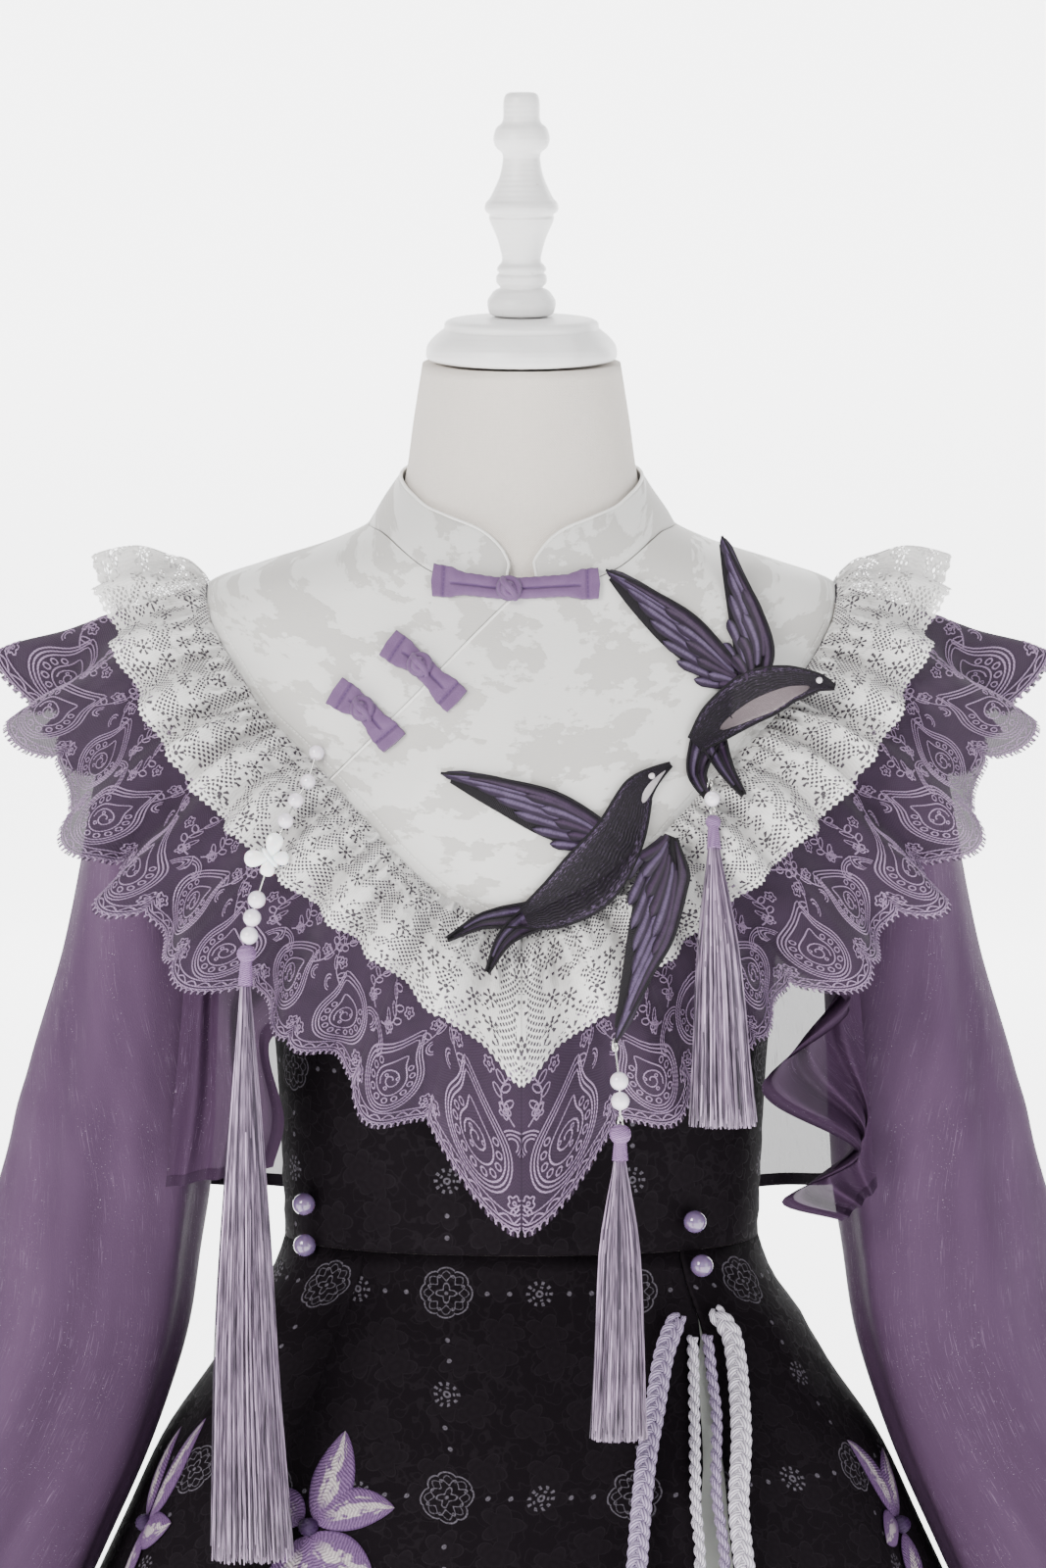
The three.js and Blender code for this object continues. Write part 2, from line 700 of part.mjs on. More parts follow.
// The chiffon fronts hang open from the yoke under the ruffles.
// Each row is a height share, with the side edge along the sleeve and the free front edge.
const CAPE_SIDE = table('fall x y z', [
  [0, 161, -46, 1354],
  [0.12, 169, -52, 1332],
  [0.3, 176, -57, 1290],
  [0.6, 180, -63, 1190],
  [0.8, 186, -65, 1115],
  [1, 192, -64, 1056],
]);
const CAPE_EDGE_LEFT = table('fall x y z', [
  [0, 82, -96, 1258],
  [0.3, 96, -103, 1205],
  [0.52, 111, -103, 1150],
  [0.64, 137, -96, 1131],
  [0.82, 127, -92, 1095],
  [1, 133, -86, 1070],
]);
const CAPE_EDGE_RIGHT = table('fall x y z', [
  [0, 82, -96, 1258],
  [0.3, 112, -104, 1206],
  [0.45, 148, -104, 1168],
  [0.58, 182, -92, 1148],
  [0.7, 129, -98, 1110],
  [0.84, 181, -88, 1075],
  [0.93, 139, -92, 1052],
  [1, 172, -80, 1040],
]);
const CAPE_SEAM_START = 0.165;
const CAPE_SEAM_END = 0.62;
const CHIFFON_CLEARANCE = 1.9;
const CAPE_FOLDS = 3;
const CAPE_WAVE = 5;

const placeAt = (rows, at) => vector(smooth(rows, 'x', at), smooth(rows, 'y', at), smooth(rows, 'z', at));

function capeFront(edge, hand) {
  const seam = seamLine(FRONT_SEAM, -1, LAYER.chiffon);
  return wall(steps(10).map((fall) => steps(8).map((across) => {
    const side = placeAt(CAPE_SIDE, fall);
    const free = placeAt(edge, fall);
    const point = side.lerp(free, across);
    const top = seam(mix(CAPE_SEAM_START, CAPE_SEAM_END, across));
    const hold = (1 - fall) ** 3;
    point.lerp(top, hold);
    const slack = THREE.MathUtils.smoothstep(fall, 0.15, 0.7) * Math.sin(Math.PI * across) ** 0.5;
    point.y -= CAPE_WAVE * slack * (1 - Math.cos(2 * Math.PI * CAPE_FOLDS * across));
    point.z -= CHIFFON_CLEARANCE;
    point.y -= SEAM_SHIFT;
    point.x *= hand;
    return point;
  })), SHEER);
}
add('cape_front_left', capeFront(CAPE_EDGE_LEFT, -1), COLOUR.chiffon);
add('cape_front_right', capeFront(CAPE_EDGE_RIGHT, 1), COLOUR.chiffon);

// The chiffon back hangs straight from the back seam
const CAPE_BACK_HEM = table('across x y z', [
  [0, 0, 114, 1026],
  [0.5, 100, 107, 1028],
  [0.8, 158, 90, 1032],
  [1, 190, 74, 1036],
]);
const CAPE_BACK_START = 0.22;
const CAPE_BACK_FOLDS = 4;

function capeBack() {
  const seam = seamLine(BACK_SEAM_LINE, 1, LAYER.chiffon);
  return wall(steps(5).map((fall) => steps(24).map((turn) => {
    const across = Math.abs(turn * 2 - 1);
    const point = seam(mix(1, CAPE_BACK_START, across));
    const hem = vector(...['x', 'y', 'z'].map((name) => smooth(CAPE_BACK_HEM, name, across)));
    point.z -= CHIFFON_CLEARANCE;
    point.lerp(hem, fall);
    const slack = Math.sin(Math.PI * Math.min(1, fall * 1.4) * 0.5);
    point.y += slack * (4 + 3 * Math.cos(2 * Math.PI * CAPE_BACK_FOLDS * across));
    point.x *= Math.sign(turn - 0.5);
    return point;
  })), SHEER);
}
add('cape_back', capeBack(), COLOUR.chiffon);

// The long sleeves hang empty from the armholes: tilted rings, open at both ends
const SLEEVE = table('ring x y z tilt across deep', [
  [0, 172.8, 0, 1320, 84, 38, 50],
  [1, 185.5, 0, 1302, 55, 38, 52],
  [2, 196, 0, 1270, 28, 37, 53],
  [3, 202, 0, 1225, 14, 38, 52],
  [4, 208, -1, 1171, 12, 42, 51],
  [5, 216, -3, 1120, 12, 48, 53],
  [6, 224, -5, 1068, 12, 54, 56],
  [7, 246, -8, 963, 12, 59, 60],
  [8, 284, -12, 859, 15, 55, 58],
  [9, 303, -13, 812, 15, 51, 55],
]);
const SLEEVE_SIDES = 16;
const SLEEVE_FOLDS = 6;
const SLEEVE_WAVE = 2.4;

function sleeve(hand) {
  const rings = SLEEVE.rows.map((row) => steps(SLEEVE_SIDES).slice(1).map((turn) => {
    const angle = turn * 2 * Math.PI;
    const tilt = THREE.MathUtils.degToRad(row.tilt);
    const loose = THREE.MathUtils.smoothstep(row.ring, 1, 6);
    const fold = SLEEVE_WAVE * loose * Math.cos(SLEEVE_FOLDS * angle + 0.7 + row.ring * 0.12);
    const across = Math.cos(angle) * (row.across + fold);
    const point = vector(across * Math.cos(tilt), Math.sin(angle) * (row.deep + fold), across * Math.sin(tilt));
    point.add(vector(row.x, row.y, row.z));
    point.x *= hand;
    return point;
  }));
  return wall(rings, SHEER, true);
}
add('sleeve_left', sleeve(-1), COLOUR.chiffon);
add('sleeve_right', sleeve(1), COLOUR.chiffon);

// The frog closures: a flat pieced band each side of the opening and a round knot between them
const FROG_THICK = 2.2;
const FROG_KNOT = 7;
const FROGS = table('frog x z endX endZ knotX knotZ half', [
  [0, -47, 1379.5, 41, 1378, -6.5, 1376, 7.5],
  [1, -70, 1347, -33, 1316.5, -52.5, 1335, 8],
  [2, -97, 1323, -65, 1295, -81, 1313, 8],
]);

function band(from, to, half) {
  const along = to.clone().sub(from).normalize();
  const across = vector(-along.z, 0, along.x).multiplyScalar(half);
  return wall([-1, 1].map((edge) => steps(5).map((share) => {
    const flatPoint = from.clone().lerp(to, share).addScaledVector(across, edge);
    const point = acrossBody(flatPoint.x, flatPoint.z, -1, LAYER.trim);
    return point;
  })), FROG_THICK);
}

FROGS.rows.forEach((row, place) => {
  const knot = acrossBody(row.knotX, row.knotZ, -1, LAYER.trim + FROG_THICK);
  const ball = new THREE.OctahedronGeometry(FROG_KNOT, 1).scale(1, 0.62, 1).translate(knot.x, knot.y, knot.z);
  const name = ['frog_top', 'frog_middle', 'frog_low'][place];
  add(name, joined([band(flat(row.x, row.z), flat(row.endX, row.endZ), row.half), ball]), COLOUR.frog);
});

// A swallow patch is made of tapered leaves: each runs through points with a half width at each.
// The leaves lie on the yoke and lift over the ruffles below its seam.
const PATCH_THICK = 2.2;
const LEAF_SPANS = 5;
const NARROW_LEAF = 9;
const PATCH_REACH = 112;
const PATCH_CREST = 1362;
const PATCH_EASE = 8;
const PATCH_MIDDLE = 45;
const PATCH_DROP = 40;
const PATCH_LIFT = table('below lift', [
  [0, 0],
  [30, 15],
  [55, 29],
  [90, 40],
]);
const PATCH_LEAN = 0.35;
const PATCH_SIDE_LIFT = 0.3;

function seamHeight(x) {
  let low = 0;
  let high = FRONT_SEAM.rows.length - 1;
  for (let round = 0; round < 24; round += 1) {
    const middle = (low + high) / 2;
    if (smooth(FRONT_SEAM, 'x', middle) > x) low = middle;
    else high = middle;
  }
  return smooth(FRONT_SEAM, 'z', high);
}

function overYoke(x, z) {
  const yokeX = THREE.MathUtils.clamp(x, -PATCH_REACH, PATCH_REACH);
  const seam = seamHeight(Math.abs(yokeX));
  const point = acrossBody(yokeX, THREE.MathUtils.clamp(z, seam, PATCH_CREST), -1, LAYER.patch);
  const below = Math.max(0, seam + PATCH_EASE - z);
  const aside = Math.max(0, Math.abs(yokeX) - PATCH_MIDDLE) * Math.min(1, below / PATCH_DROP);
  const above = Math.max(0, z - PATCH_CREST);
  const beside = Math.max(0, Math.abs(x) - PATCH_REACH);
  const lift = smooth(PATCH_LIFT, 'lift', below) + (aside + beside) * PATCH_SIDE_LIFT;
  return vector(x, point.y - lift + above * PATCH_LEAN, z);
}

function leaf(rows, shift) {
  const spine = new THREE.CatmullRomCurve3(rows.map(([x, z]) => flat(x, z)));
  const widths = table('row half', rows.map((row, place) => [place, row[2]]));
  const widest = Math.max(...rows.map((row) => row[2]));
  const edges = widest > NARROW_LEAF ? [-1, 0, 1] : [-1, 1];
  return wall(edges.map((edge) => steps(LEAF_SPANS).map((share) => {
    const middle = spine.getPoint(share);
    const tangent = spine.getTangent(share);
    const half = smooth(widths, 'half', share * (rows.length - 1));
    const point = overYoke(middle.x - tangent.z * half * edge, middle.z + tangent.x * half * edge);
    point.y -= shift;
    return point;
  })), PATCH_THICK);
}

// Leaves of the upper swallow: across and height of the spine and the leaf's half width
const UPPER_LEAVES = [
  [[44, 1387, 1.2], [62, 1371, 9], [84, 1352, 14], [106, 1334, 10], [120, 1326, 4]],
  [[106, 1405, 1.2], [111, 1385, 6], [117, 1364, 11], [121, 1345, 13], [122, 1328, 8]],
  [[92, 1296, 5], [106, 1309, 11], [126, 1322, 13], [144, 1328, 9], [156, 1329, 5], [166, 1326.5, 1]],
  [[101, 1266, 1.2], [93, 1282, 5], [98, 1300, 8]],
  [[117, 1271, 1.2], [108, 1284, 4], [100, 1302, 8]],
];
const LOWER_LEAVES = [
  [[-43, 1281, 1.2], [-14, 1270, 10], [14, 1258, 15], [36, 1248, 12], [48, 1243, 5]],
  [[79, 1286, 1], [71, 1281, 4], [62, 1273, 8], [52, 1250, 13], [36, 1228, 16], [18, 1214, 12], [2, 1206, 6]],
  [[78, 1250, 4], [72, 1232, 16], [66, 1206, 15], [58, 1180, 9], [48, 1145, 1.2]],
  [[-39, 1197, 1], [-18, 1206, 4], [6, 1208, 7]],
  [[-18, 1180, 1], [-9, 1196, 4], [8, 1208, 7]],
];
const LEAF_STEP = 0.15;
const patch = (leaves, settle) => joined(leaves.map((rows, place) => leaf(rows, place * LEAF_STEP - settle)));
add('swallow_upper', patch(UPPER_LEAVES, 0), COLOUR.feather);
add('swallow_lower', patch(LOWER_LEAVES, 1.1), COLOUR.feather);

// Strings of pearls on a thread
const THREAD = 0.9;

function ball(radius, at) {
  return new THREE.OctahedronGeometry(radius, 1).translate(at.x, at.y, at.z);
}

function thread(from, to, radius = THREAD) {
  const length = from.distanceTo(to);
  const rod = new THREE.CylinderGeometry(radius, radius, length, 4).rotateX(Math.PI / 2);
  const turn = new THREE.Quaternion().setFromUnitVectors(vector(0, 0, 1), to.clone().sub(from).normalize());
  rod.applyQuaternion(turn);
  return rod.translate((from.x + to.x) / 2, (from.y + to.y) / 2, (from.z + to.z) / 2);
}

function beads(rows) {
  const places = rows.map(([x, y, z]) => vector(x, y, z));
  const strings = places.slice(1).map((place, before) => thread(places[before], place));
  return joined([...rows.map((row, place) => ball(row[3], places[place])), ...strings]);
}

// Each pearl: across, depth, height and radius; the wide one on the left is the butterfly bead
const PEARLS_LEFT = [
  [-109, -92.5, 1291, 4.2], [-113, -110, 1277, 4.2], [-119, -122, 1268, 4.2], [-124, -131, 1258, 4.2],
  [-132, -137, 1239, 11], [-139, -137, 1217, 4.8], [-141.5, -137, 1207.5, 4.8], [-143, -137, 1198, 4.8],
];
const PEARLS_CENTRE = [
  [48.7, -165, 1144.2, 1.6], [51, -168, 1125, 4.9], [51.5, -168, 1114.5, 4.9], [51.5, -168, 1104.4, 1.6],
];
const PEARLS_RIGHT = [[99.6, -112.2, 1275.4, 1.6], [100.4, -124, 1269, 4.2], [100.6, -125.6, 1262.5, 1.6]];
add('pearls_left', beads(PEARLS_LEFT), COLOUR.pearl, 0.3);
add('pearls_centre', beads(PEARLS_CENTRE), COLOUR.pearl, 0.3);
add('pearls_right', beads(PEARLS_RIGHT), COLOUR.pearl, 0.3);

// A tassel: a bound head and locks of silk that spread below it.
// The table gives the bundle's middle and half width at each height, from the tips up.
const LOCK = 1.25;
const HEAD_LAP = 0.05;

function tassel(shape, locks, head) {
  const rows = shape.rows;
  const lockBodies = steps(locks).slice(1).map((_, lock) => {
    const turn = (lock / locks) * 2 * Math.PI;
    const reach = lock % 2 === 0 ? 1 : 0.62;
    const rings = rows.map((row, level) => steps(3).slice(1).map((corner) => {
      const angle = corner * 2 * Math.PI + turn;
      const size = LOCK * row.fine;
      const spread = row.half * reach;
      const short = level === 0 ? 5 * Math.sin(lock * 1.7) : 0;
      return vector(
        row.x + Math.cos(turn) * spread + Math.cos(angle) * size,
        row.y + Math.sin(turn) * spread * 0.6 + Math.sin(angle) * size,
        row.z + short,
      );
    }));
    return loft(rings);
  });
  const [below, root] = rows.slice(-2).map((row) => vector(row.x, row.y, row.z));
  const middle = root.lerp(below, HEAD_LAP);
  const top = vector(head.x, head.y, head.z);
  return joined([thread(middle, top, head.neck), ball(head.ball, top), ...lockBodies]);
}

const TASSEL_LEFT = table('z x y half fine', [
  [868, -142, -150, 22, 0.6],
  [1010, -145, -144, 15, 1.1],
  [1176, -145, -137, 1.8, 0.4],
]);
const TASSEL_CENTRE = table('z x y half fine', [
  [936, 51, -170, 15, 0.6],
  [1030, 51.5, -169, 11, 1.1],
  [1087, 51.5, -168, 1.8, 0.4],
]);
const TASSEL_RIGHT = table('z x y half fine', [
  [1099, 106, -154, 18, 0.6],
  [1190, 103, -154, 11, 1.1],
  [1247, 101, -132, 1.8, 0.4],
]);
const HEADS = {
  left: { x: -144.5, y: -137, z: 1188.3, ball: 5, neck: 3.4 },
  centre: { x: 51.5, y: -168, z: 1097, ball: 5.6, neck: 3.6 },
  right: { x: 100.8, y: -127, z: 1257, ball: 4, neck: 3.2 },
};
const LOCKS = 16;
add('tassel_left', tassel(TASSEL_LEFT, LOCKS, HEADS.left), COLOUR.silk, 0.6);
add('tassel_centre', tassel(TASSEL_CENTRE, LOCKS, HEADS.centre), COLOUR.silk, 0.6);
add('tassel_right', tassel(TASSEL_RIGHT, LOCKS, HEADS.right), COLOUR.silk, 0.6);

// Four round beads sewn on the bodice and the hip
const BEAD = 6.2;
const BEADS = [[-111, 1043.5, 1], [-112, 1020.5, 0.3], [89, 1036.5, 0.6], [93, 1012.5, 0.8]];
BEADS.forEach(([x, z, stand], place) => {
  const skin = z > WAIST + 3 ? acrossBody(x, z, -1, LAYER.dress) : skirtFront(x, z, 0);
  const out = acrossBody(x, Math.max(z, WAIST), -1, 1).sub(acrossBody(x, Math.max(z, WAIST), -1, 0));
  skin.addScaledVector(out, BEAD + CLOTH / 2 + stand);
  add(`bead_${place + 1}`, ball(BEAD, skin), COLOUR.bead, 0.2);
});

// A point in front of the skirt at a distance across and a height
function skirtFront(x, z, stand) {
  const half = smooth(SKIRT, 'half', z);
  const depth = smooth(SKIRT, 'front', z);
  const rest = Math.pow(1 - Math.pow(Math.abs(x) / half, BODY_POWER), 1 / BODY_POWER);
  return vector(x, -depth * rest - stand, z);
}

// The hip cords: two plaits and two plain cords from one knot at the top of the slit, free below
const PLAIT = 12;
const CORD = 7;
const CORD_SIDES = 8;
const CORD_END_BALL = 1.1;
const CORD_SWING = 0.045;
const CORD_TOP = 990;
const CORDS = {
  cord_plait_left: {
    width: PLAIT,
    stand: 2.9,
    route: [[84, 989], [76, 970], [71, 945], [66, 920], [63, 895], [60, 860], [58, 820]],
  },
  cord_plait_right: {
    width: PLAIT,
    stand: 3.2,
    route: [[103, 990], [113, 976], [116, 955], [117, 928], [115, 895], [118, 859], [121, 812]],
  },
  cord_inner_left: {
    width: CORD,
    stand: 0.6,
    route: [[91.5, 977], [92, 955], [92, 930], [92, 900], [94, 870], [93, 838]],
  },
  cord_inner_right: {
    width: CORD,
    stand: 0.6,
    route: [[99.5, 977], [102, 955], [104, 935], [103, 905], [107, 870], [108, 830]],
  },
};
for (const [name, { width, stand, route }] of Object.entries(CORDS)) {
  const points = route.map(([x, z]) => skirtFront(x, z, width / 2 + stand + CORD_SWING * (CORD_TOP - z)));
  const path = new THREE.CatmullRomCurve3(points);
  const section = new THREE.Shape(steps(CORD_SIDES).slice(1).map((turn) => (
    new THREE.Vector2(Math.cos(turn * 2 * Math.PI), Math.sin(turn * 2 * Math.PI)).multiplyScalar(width / 2)
  )));
  const spans = Math.round(path.getLength() / (width * 2.2));
  add(name, new THREE.ExtrudeGeometry(section, { steps: spans, extrudePath: path }), COLOUR.cord);
  const end = points[points.length - 1];
  const radius = (width / 2) * CORD_END_BALL + 1.5;
  const way = path.getTangent(1);
  const middle = end.clone().addScaledVector(way, radius + GAP);
  const knot = new THREE.OctahedronGeometry(radius, 1).translate(middle.x, middle.y, middle.z);
  add(`${name.replace('cord', 'knot')}`, knot, COLOUR.cord);
}

export default group;
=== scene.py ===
"""A lace-trimmed chiffon blouse over a black jacquard dress, worn on a limbless dress form."""
import math

import bmesh
import bpy
import numpy as np
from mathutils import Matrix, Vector


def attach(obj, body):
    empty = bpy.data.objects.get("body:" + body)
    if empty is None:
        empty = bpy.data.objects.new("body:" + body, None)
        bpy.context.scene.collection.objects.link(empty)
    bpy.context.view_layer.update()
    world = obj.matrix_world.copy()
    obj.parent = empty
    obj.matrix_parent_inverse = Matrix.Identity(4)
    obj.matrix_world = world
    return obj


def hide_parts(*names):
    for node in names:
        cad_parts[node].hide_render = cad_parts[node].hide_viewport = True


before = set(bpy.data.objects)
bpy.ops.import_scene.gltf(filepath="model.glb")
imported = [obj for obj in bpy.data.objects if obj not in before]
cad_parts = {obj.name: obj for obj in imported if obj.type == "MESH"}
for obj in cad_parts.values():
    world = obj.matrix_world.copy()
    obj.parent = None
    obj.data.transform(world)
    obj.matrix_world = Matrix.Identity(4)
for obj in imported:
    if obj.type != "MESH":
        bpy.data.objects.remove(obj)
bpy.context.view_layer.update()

# ---------------------------------------------------------------- The room and the camera
# The form stands on a plain pale floor that curves up behind it, in soft studio light.
# A long lens looks at the chest from a little above, as one photographs a garment.
IMAGE = (1067, 1600)
MM_PER_PIXEL = 0.52
LENS = 138.0
FILM_HEIGHT = 36.0
AIM = Vector((0.0008, -0.1, 1.275))
ELEVATION = math.radians(4.5)
DISTANCE = LENS / FILM_HEIGHT * IMAGE[1] * MM_PER_PIXEL / 1000

lens = bpy.data.cameras.new("camera")
lens.sensor_fit = "VERTICAL"
lens.sensor_height = FILM_HEIGHT
lens.sensor_width = FILM_HEIGHT
lens.lens = LENS
camera = bpy.data.objects.new("camera", lens)
bpy.context.scene.collection.objects.link(camera)
camera.location = AIM + DISTANCE * Vector((0, -math.cos(ELEVATION), math.sin(ELEVATION)))
camera.rotation_euler = (AIM - camera.location).to_track_quat("-Z", "Y").to_euler()
bpy.context.scene.camera = camera


class Shade:
    """One value in a finish: sums and products of it add Math nodes, node() adds any other node."""

    def __init__(self, tree, socket=None):
        self.tree, self.socket = tree, socket

    def node(self, kind, settings=None, inputs=None, out=0):
        made = self.tree.nodes.new("ShaderNode" + kind)
        for key, value in (settings or {}).items():
            setattr(made, key, value)
        for key, value in (inputs or {}).items():
            if isinstance(value, Shade):
                self.tree.links.new(value.socket, made.inputs[key])
            else:
                made.inputs[key].default_value = value
        return Shade(self.tree, made.outputs[out])

    def math(self, operation, *others):
        return self.node("Math", {"operation": operation}, dict(enumerate((self, *others))))

    def __add__(self, other): return self.math("ADD", other)
    def __radd__(self, other): return self.math("ADD", other)
    def __mul__(self, other): return self.math("MULTIPLY", other)
    def __rmul__(self, other): return self.math("MULTIPLY", other)
    def __sub__(self, other): return self.math("SUBTRACT", other)
    def __rsub__(self, other): return (self * -1).math("ADD", other)
    def __truediv__(self, other): return self.math("DIVIDE", other)
    def __pow__(self, other): return self.math("POWER", other)
    def __abs__(self): return self.math("ABSOLUTE")

    def wave(self): return self.math("SINE")
    def swing(self): return self.math("COSINE")
    def fraction(self): return self.math("FRACT")
    def root(self): return self.math("SQRT")
    def least(self, other): return self.math("MINIMUM", other)
    def most(self, other): return self.math("MAXIMUM", other)

    def ripple(self, pitch):
        """Waves of a pitch, from -1 to 1."""
        return (self * (math.tau / pitch)).wave()

    def off_middle(self, pitch):
        """How far off the middle of its cell, where cells of a pitch lie side by side: 0 to 0.5."""
        return abs((self / pitch).fraction() - 0.5)

    def fade(self, start, end):
        """0 at start, 1 at end, and smooth between them."""
        limits = {0: self, 1: start, 2: end, 3: 0.0, 4: 1.0}
        if start > end:
            limits.update({1: end, 2: start, 3: 1.0, 4: 0.0})
        return self.node("MapRange", {"interpolation_type": "SMOOTHSTEP"}, limits)

    def blend(self, low, high):
        """A colour that runs from low at 0 to high at 1."""
        colours = [tone if isinstance(tone, Shade) else (*tone, 1) for tone in (low, high)]
        return self.node("Mix", {"data_type": "RGBA"}, {0: self, 6: colours[0], 7: colours[1]}, out=2)


class Finish(Shade):
    """A material: constant values stand on its shader, varying ones are fed to it."""

    def __init__(self, name, **constants):
        self.material = bpy.data.materials.new(name)
        self.material.use_nodes = True
        super().__init__(self.material.node_tree)
        self.shader = next(n for n in self.tree.nodes if n.type == "BSDF_PRINCIPLED")
        for key, value in constants.items():
            self.shader.inputs[key.replace("_", " ")].default_value = value

    def feed(self, **values):
        for key, value in values.items():
            self.tree.links.new(value.socket, self.shader.inputs[key.replace("_", " ")])

    def bump(self, height, depth, under=None):
        """Relief of a depth in metres for a height that runs 0 to 1."""
        inputs = {"Height": height, "Distance": depth, "Strength": 1.0}
        if under:
            inputs["Normal"] = under
        return self.node("Bump", None, inputs)

    def in_millimetres(self, point, axes):
        """The first coordinates of a point in metres, each in millimetres."""
        scaled = self.node("VectorMath", {"operation": "SCALE"}, {0: point, 3: 1000.0})
        return [self.node("SeparateXYZ", None, {0: scaled}, out=axis) for axis in range(axes)]

    def place(self):
        """The point on the object: across, depth and height."""
        return self.in_millimetres(self.node("TexCoord", out=3), 3)

    def cloth(self):
        """The place on the cloth: along the weft and along the warp."""
        return self.in_millimetres(self.node("UVMap", {"uv_map": "cloth"}), 2)

    def noise(self, along, across, size, detail=2.0, rough=0.5):
        """Soft noise from 0 to 1 with blots of a size in millimetres."""
        point = self.node("CombineXYZ", None, {0: along / size, 1: across / size})
        return self.node("TexNoise", {"noise_dimensions": "3D"},
                         {"Vector": point, "Scale": 1.0, "Detail": detail, "Roughness": rough})


WELD = 1e-5
UPRIGHT = (0, 0, np.nan)  # faces turn away from the form's upright axis, whatever their height


def lay(name, parts, inside=None, weld=True):
    """One mesh from grids of points. Each part is a pair: points (..., rows, columns, 3) in
    millimetres, and the place on the cloth (..., rows, columns, 2) in millimetres or None. Each
    grid becomes quads, turned to face away from inside, a point or the grid's own middle."""
    points, places, quads, count = [], [], [], 0
    for grid, cloth in parts:
        rows, columns = grid.shape[-3:-1]
        grid = grid.reshape(-1, rows, columns, 3)
        if cloth is None:
            cloth = np.zeros((len(grid), rows, columns, 2))
        cloth = np.broadcast_to(cloth, (*grid.shape[:-1], 2))
        corner = np.arange(rows * columns).reshape(rows, columns)
        cell = as_points(corner[:-1, :-1], corner[:-1, 1:], corner[1:, 1:], corner[1:, :-1]).reshape(-1, 4)
        flat = grid.reshape(len(grid), -1, 3)
        a, b, c, d = (flat[:, cell[:, i]] for i in range(4))
        normal = np.cross(c - a, d - b)
        middle = flat.mean(1, keepdims=True) if inside is None else np.array(inside, float)
        if inside is not None:
            middle = np.where(np.isnan(middle), (a + c) / 2, middle)
        facing = np.sum(normal * ((a + c) / 2 - middle), (1, 2))
        cells = np.where(facing[:, None, None] >= 0, cell[None], cell[None, :, ::-1])
        quads.append((cells + count + np.arange(len(grid))[:, None, None] * rows * columns).reshape(-1, 4))
        points.append(flat.reshape(-1, 3))
        places.append(cloth.reshape(-1, 2))
        count += flat.shape[0] * flat.shape[1]
    points, places, quads = (np.concatenate(each) for each in (points, places, quads))
    mesh = bpy.data.meshes.new(name)
    mesh.vertices.add(len(points))
    mesh.vertices.foreach_set("co", (points / 1000).astype(np.float32).ravel())
    mesh.loops.add(quads.size)
    mesh.loops.foreach_set("vertex_index", quads.astype(np.int32).ravel())
    mesh.polygons.add(len(quads))
    mesh.polygons.foreach_set("loop_start", np.arange(0, quads.size, 4, dtype=np.int32))
    mesh.update(calc_edges=True)
    corners = (places / 1000)[quads.ravel()].astype(np.float32)
    mesh.uv_layers.new(name="cloth").data.foreach_set("uv", corners.ravel())
    if weld:
        shell = bmesh.new()
        shell.from_mesh(mesh)
        bmesh.ops.remove_doubles(shell, verts=shell.verts, dist=WELD)
        shell.to_mesh(mesh)
        shell.free()
    mesh.shade_smooth()
    piece = bpy.data.objects.new(name, mesh)
    bpy.context.scene.collection.objects.link(piece)
    return piece


def worn(piece, finish, node=None):
    """Finishes a piece, fixes it to the form, and puts it in place of its plain solid."""
    piece.data.materials.append(finish)
    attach(piece, "root")
    if node:
        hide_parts(node)
    return piece


def as_points(*axes):
    """Points from their coordinates, one array for each."""
    return np.stack(np.broadcast_arrays(*axes), -1)


def unit(vectors):
    """Each vector divided by its length."""
    return vectors / np.linalg.norm(vectors, axis=-1, keepdims=True)


def grid_of(rows, columns, low=0.0, high=1.0):
    """Two shares for each point of a grid: down the rows, and across the columns."""
    return np.meshgrid(np.linspace(0, 1, rows), np.linspace(low, high, columns), indexing="ij")


# The floor runs back eleven metres and rises in a wide curve to a wall
SWEEP, FLOOR_FRONT, FLOOR_LENGTH, FLOOR_WIDTH, WALL = 1500, -9000, 20000, 24000, 9000
run, across = grid_of(40, 2)
turn = np.clip((run - 0.5) * 4, 0, 1) * math.pi / 2
floor_y = FLOOR_FRONT + np.minimum(run, 0.5) * 2 * FLOOR_LENGTH + SWEEP * np.sin(turn)
floor_z = SWEEP * (1 - np.cos(turn)) + np.maximum(run - 0.75, 0) * 4 * WALL
floor_grid = as_points((across - 0.5) * FLOOR_WIDTH, floor_y, floor_z)
floor = lay("floor", [(floor_grid, None)], inside=(0, 0, 1e6))
plaster = Finish("plaster", Roughness=0.95, Emission_Color=(1, 1, 1, 1), Emission_Strength=3.6)
floor_x, floor_d, floor_h = plaster.place()
mottle = plaster.noise(floor_x, floor_d + floor_h, 600)
plaster.feed(Base_Color=mottle.blend((0.89, 0.89, 0.895), (0.92, 0.92, 0.925)))
floor.data.materials.append(plaster.material)


def softbox(name, place, aim, width, height, power, tone):
    """A rectangular lamp at a place in metres, turned to its aim."""
    lamp = bpy.data.lights.new(name, "AREA")
    lamp.shape = "RECTANGLE"
    lamp.size, lamp.size_y, lamp.energy, lamp.color = width, height, power, tone
    holder = bpy.data.objects.new(name, lamp)
    holder.location = place
    holder.rotation_euler = (Vector(aim) - Vector(place)).to_track_quat("-Z", "Y").to_euler()
    bpy.context.scene.collection.objects.link(holder)


